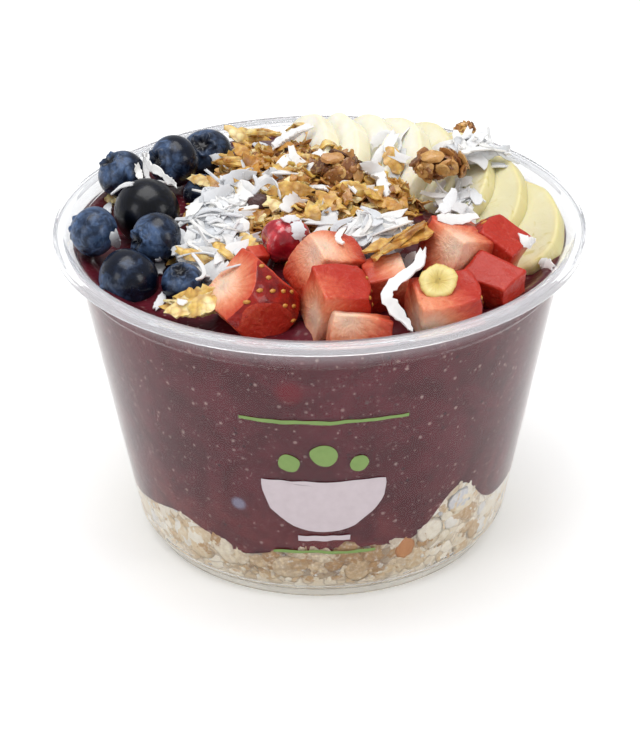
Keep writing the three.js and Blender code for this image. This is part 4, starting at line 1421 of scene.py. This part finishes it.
def print_patch(name, shapes, material):
    bm = bmesh.new()
    for kind, x, y, wide, high in shapes:
        if kind == "bar":
            made = bmesh.ops.create_grid(bm, x_segments=24, y_segments=2, size=0.5)
        else:
            made = bmesh.ops.create_circle(bm, cap_ends=True, cap_tris=True, segments=48, radius=0.5)
        new = made["verts"]
        if kind == "bowl":
            for v in new:
                v.co.y = min(v.co.y, 0.06)
        bmesh.ops.transform(bm, matrix=Matrix.Translation((x, y, 0)) @ stretch(wide, high, 1), verts=new)
    bmesh.ops.subdivide_edges(bm, edges=[e for e in bm.edges if e.calc_length() > 3], cuts=3)
    for v in bm.verts:
        v.co.xy += noise.noise_vector(v.co / 3.5).xy * 0.5
    on_wall(bm.verts)
    bmesh.ops.recalc_face_normals(bm, faces=bm.faces)
    return finished(bm, name, material, (), "clear_plastic")


def wall_print():
    pale = print_ink("pale_ink", (186, 172, 178), (206, 194, 199))
    green = print_ink("green_ink", (104, 134, 60), (128, 156, 80))
    print_patch("print_bowl", [("bowl", 0.5, 33, 27, 25), ("bar", 0.5, 18.6, 12, 1.4)], pale)
    dots = [("dot", x, y, d, d) for x, y, d in ((-7, 39.4, 4.6), (0.5, 41.6, 5.6), (7.8, 39.2, 4.2))]
    print_patch("print_fruit", dots + [("bar", 0.5, 50.5, 34, 0.9), ("bar", 0.5, 14.6, 24, 0.8)], green)


# ---------------------------------------------------------------- everything, from the cup up
def cup_and_filling():
    cup()
    granola_core(oat_crumb())
    pressed_oats(pale_oats())
    wall_almond(almond_skin())
    puree = acai(acai_puree())
    wall_print()
    return puree


def fruit():
    bloom, dark = blueberry_skin(), dark_berry_skin()
    laid = [blueberry(i, *row, dark if i == DARK_BERRY else bloom) for i, row in enumerate(BLUEBERRIES, 1)]
    flesh, seeds = strawberry_flesh(), []
    laid += [strawberry(i, *row, flesh, seeds) for i, row in enumerate(STRAWBERRIES, 1)]
    strawberry_seeds(seeds, strawberry_seed())
    banana_shading = banana_flesh()
    laid += [banana_slice(i, banana_shading) for i in range(SLICES)]
    return laid + [red_berry(red_berry_skin())]


def granola(carriers, toasted, crumb, honey):
    """Adds the granola to what later pieces may lie on."""
    heap = "granola_heap_core", "granola_heap", "toasted_granola"
    carriers.append(mound(*heap, (-3, 12, 71), (51, 56, 17), 0, 1.4, 0.86, crumb))
    carriers.append(toasted_flakes(Ground(carriers), toasted))
    carriers.append(golden_flakes(Ground(carriers), honey))
    carriers += [cluster(name, *row, toasted) for name, row in CLUSTERS.items()]
    carriers += [chip(name, *row, honey) for name, row in CHIPS.items()]


def coconut(carriers, white):
    for name, (place, size, tilt, _, _) in COCONUT_HEAPS.items():
        core = f"coconut_{name}_core", f"coconut_heap_{name}", "coconut"
        carriers.append(mound(*core, place, size, tilt, 0.7, 0.8, white))
    ground = Ground(carriers)
    carriers += [coconut_heap(name, *row, ground, white) for name, row in COCONUT_HEAPS.items()]
    for name, row in STRANDS.items():
        strand(name, *row, white)


def dressed():
    camera()
    studio()
    carriers = [cup_and_filling()] + fruit()
    toasted, crumb, honey = toasted_oats(), toasted_crumb(), honey_flake()
    granola(carriers, toasted, crumb, honey)
    oat_disc(dried_fruit())
    raisin(raisin_skin())
    white = coconut_white()
    coconut(carriers, white)
    ground = Ground(carriers)
    seen_golden(ground, honey)
    seen_shreds(ground, white)
    strewn_coconut(ground, white)


dressed()
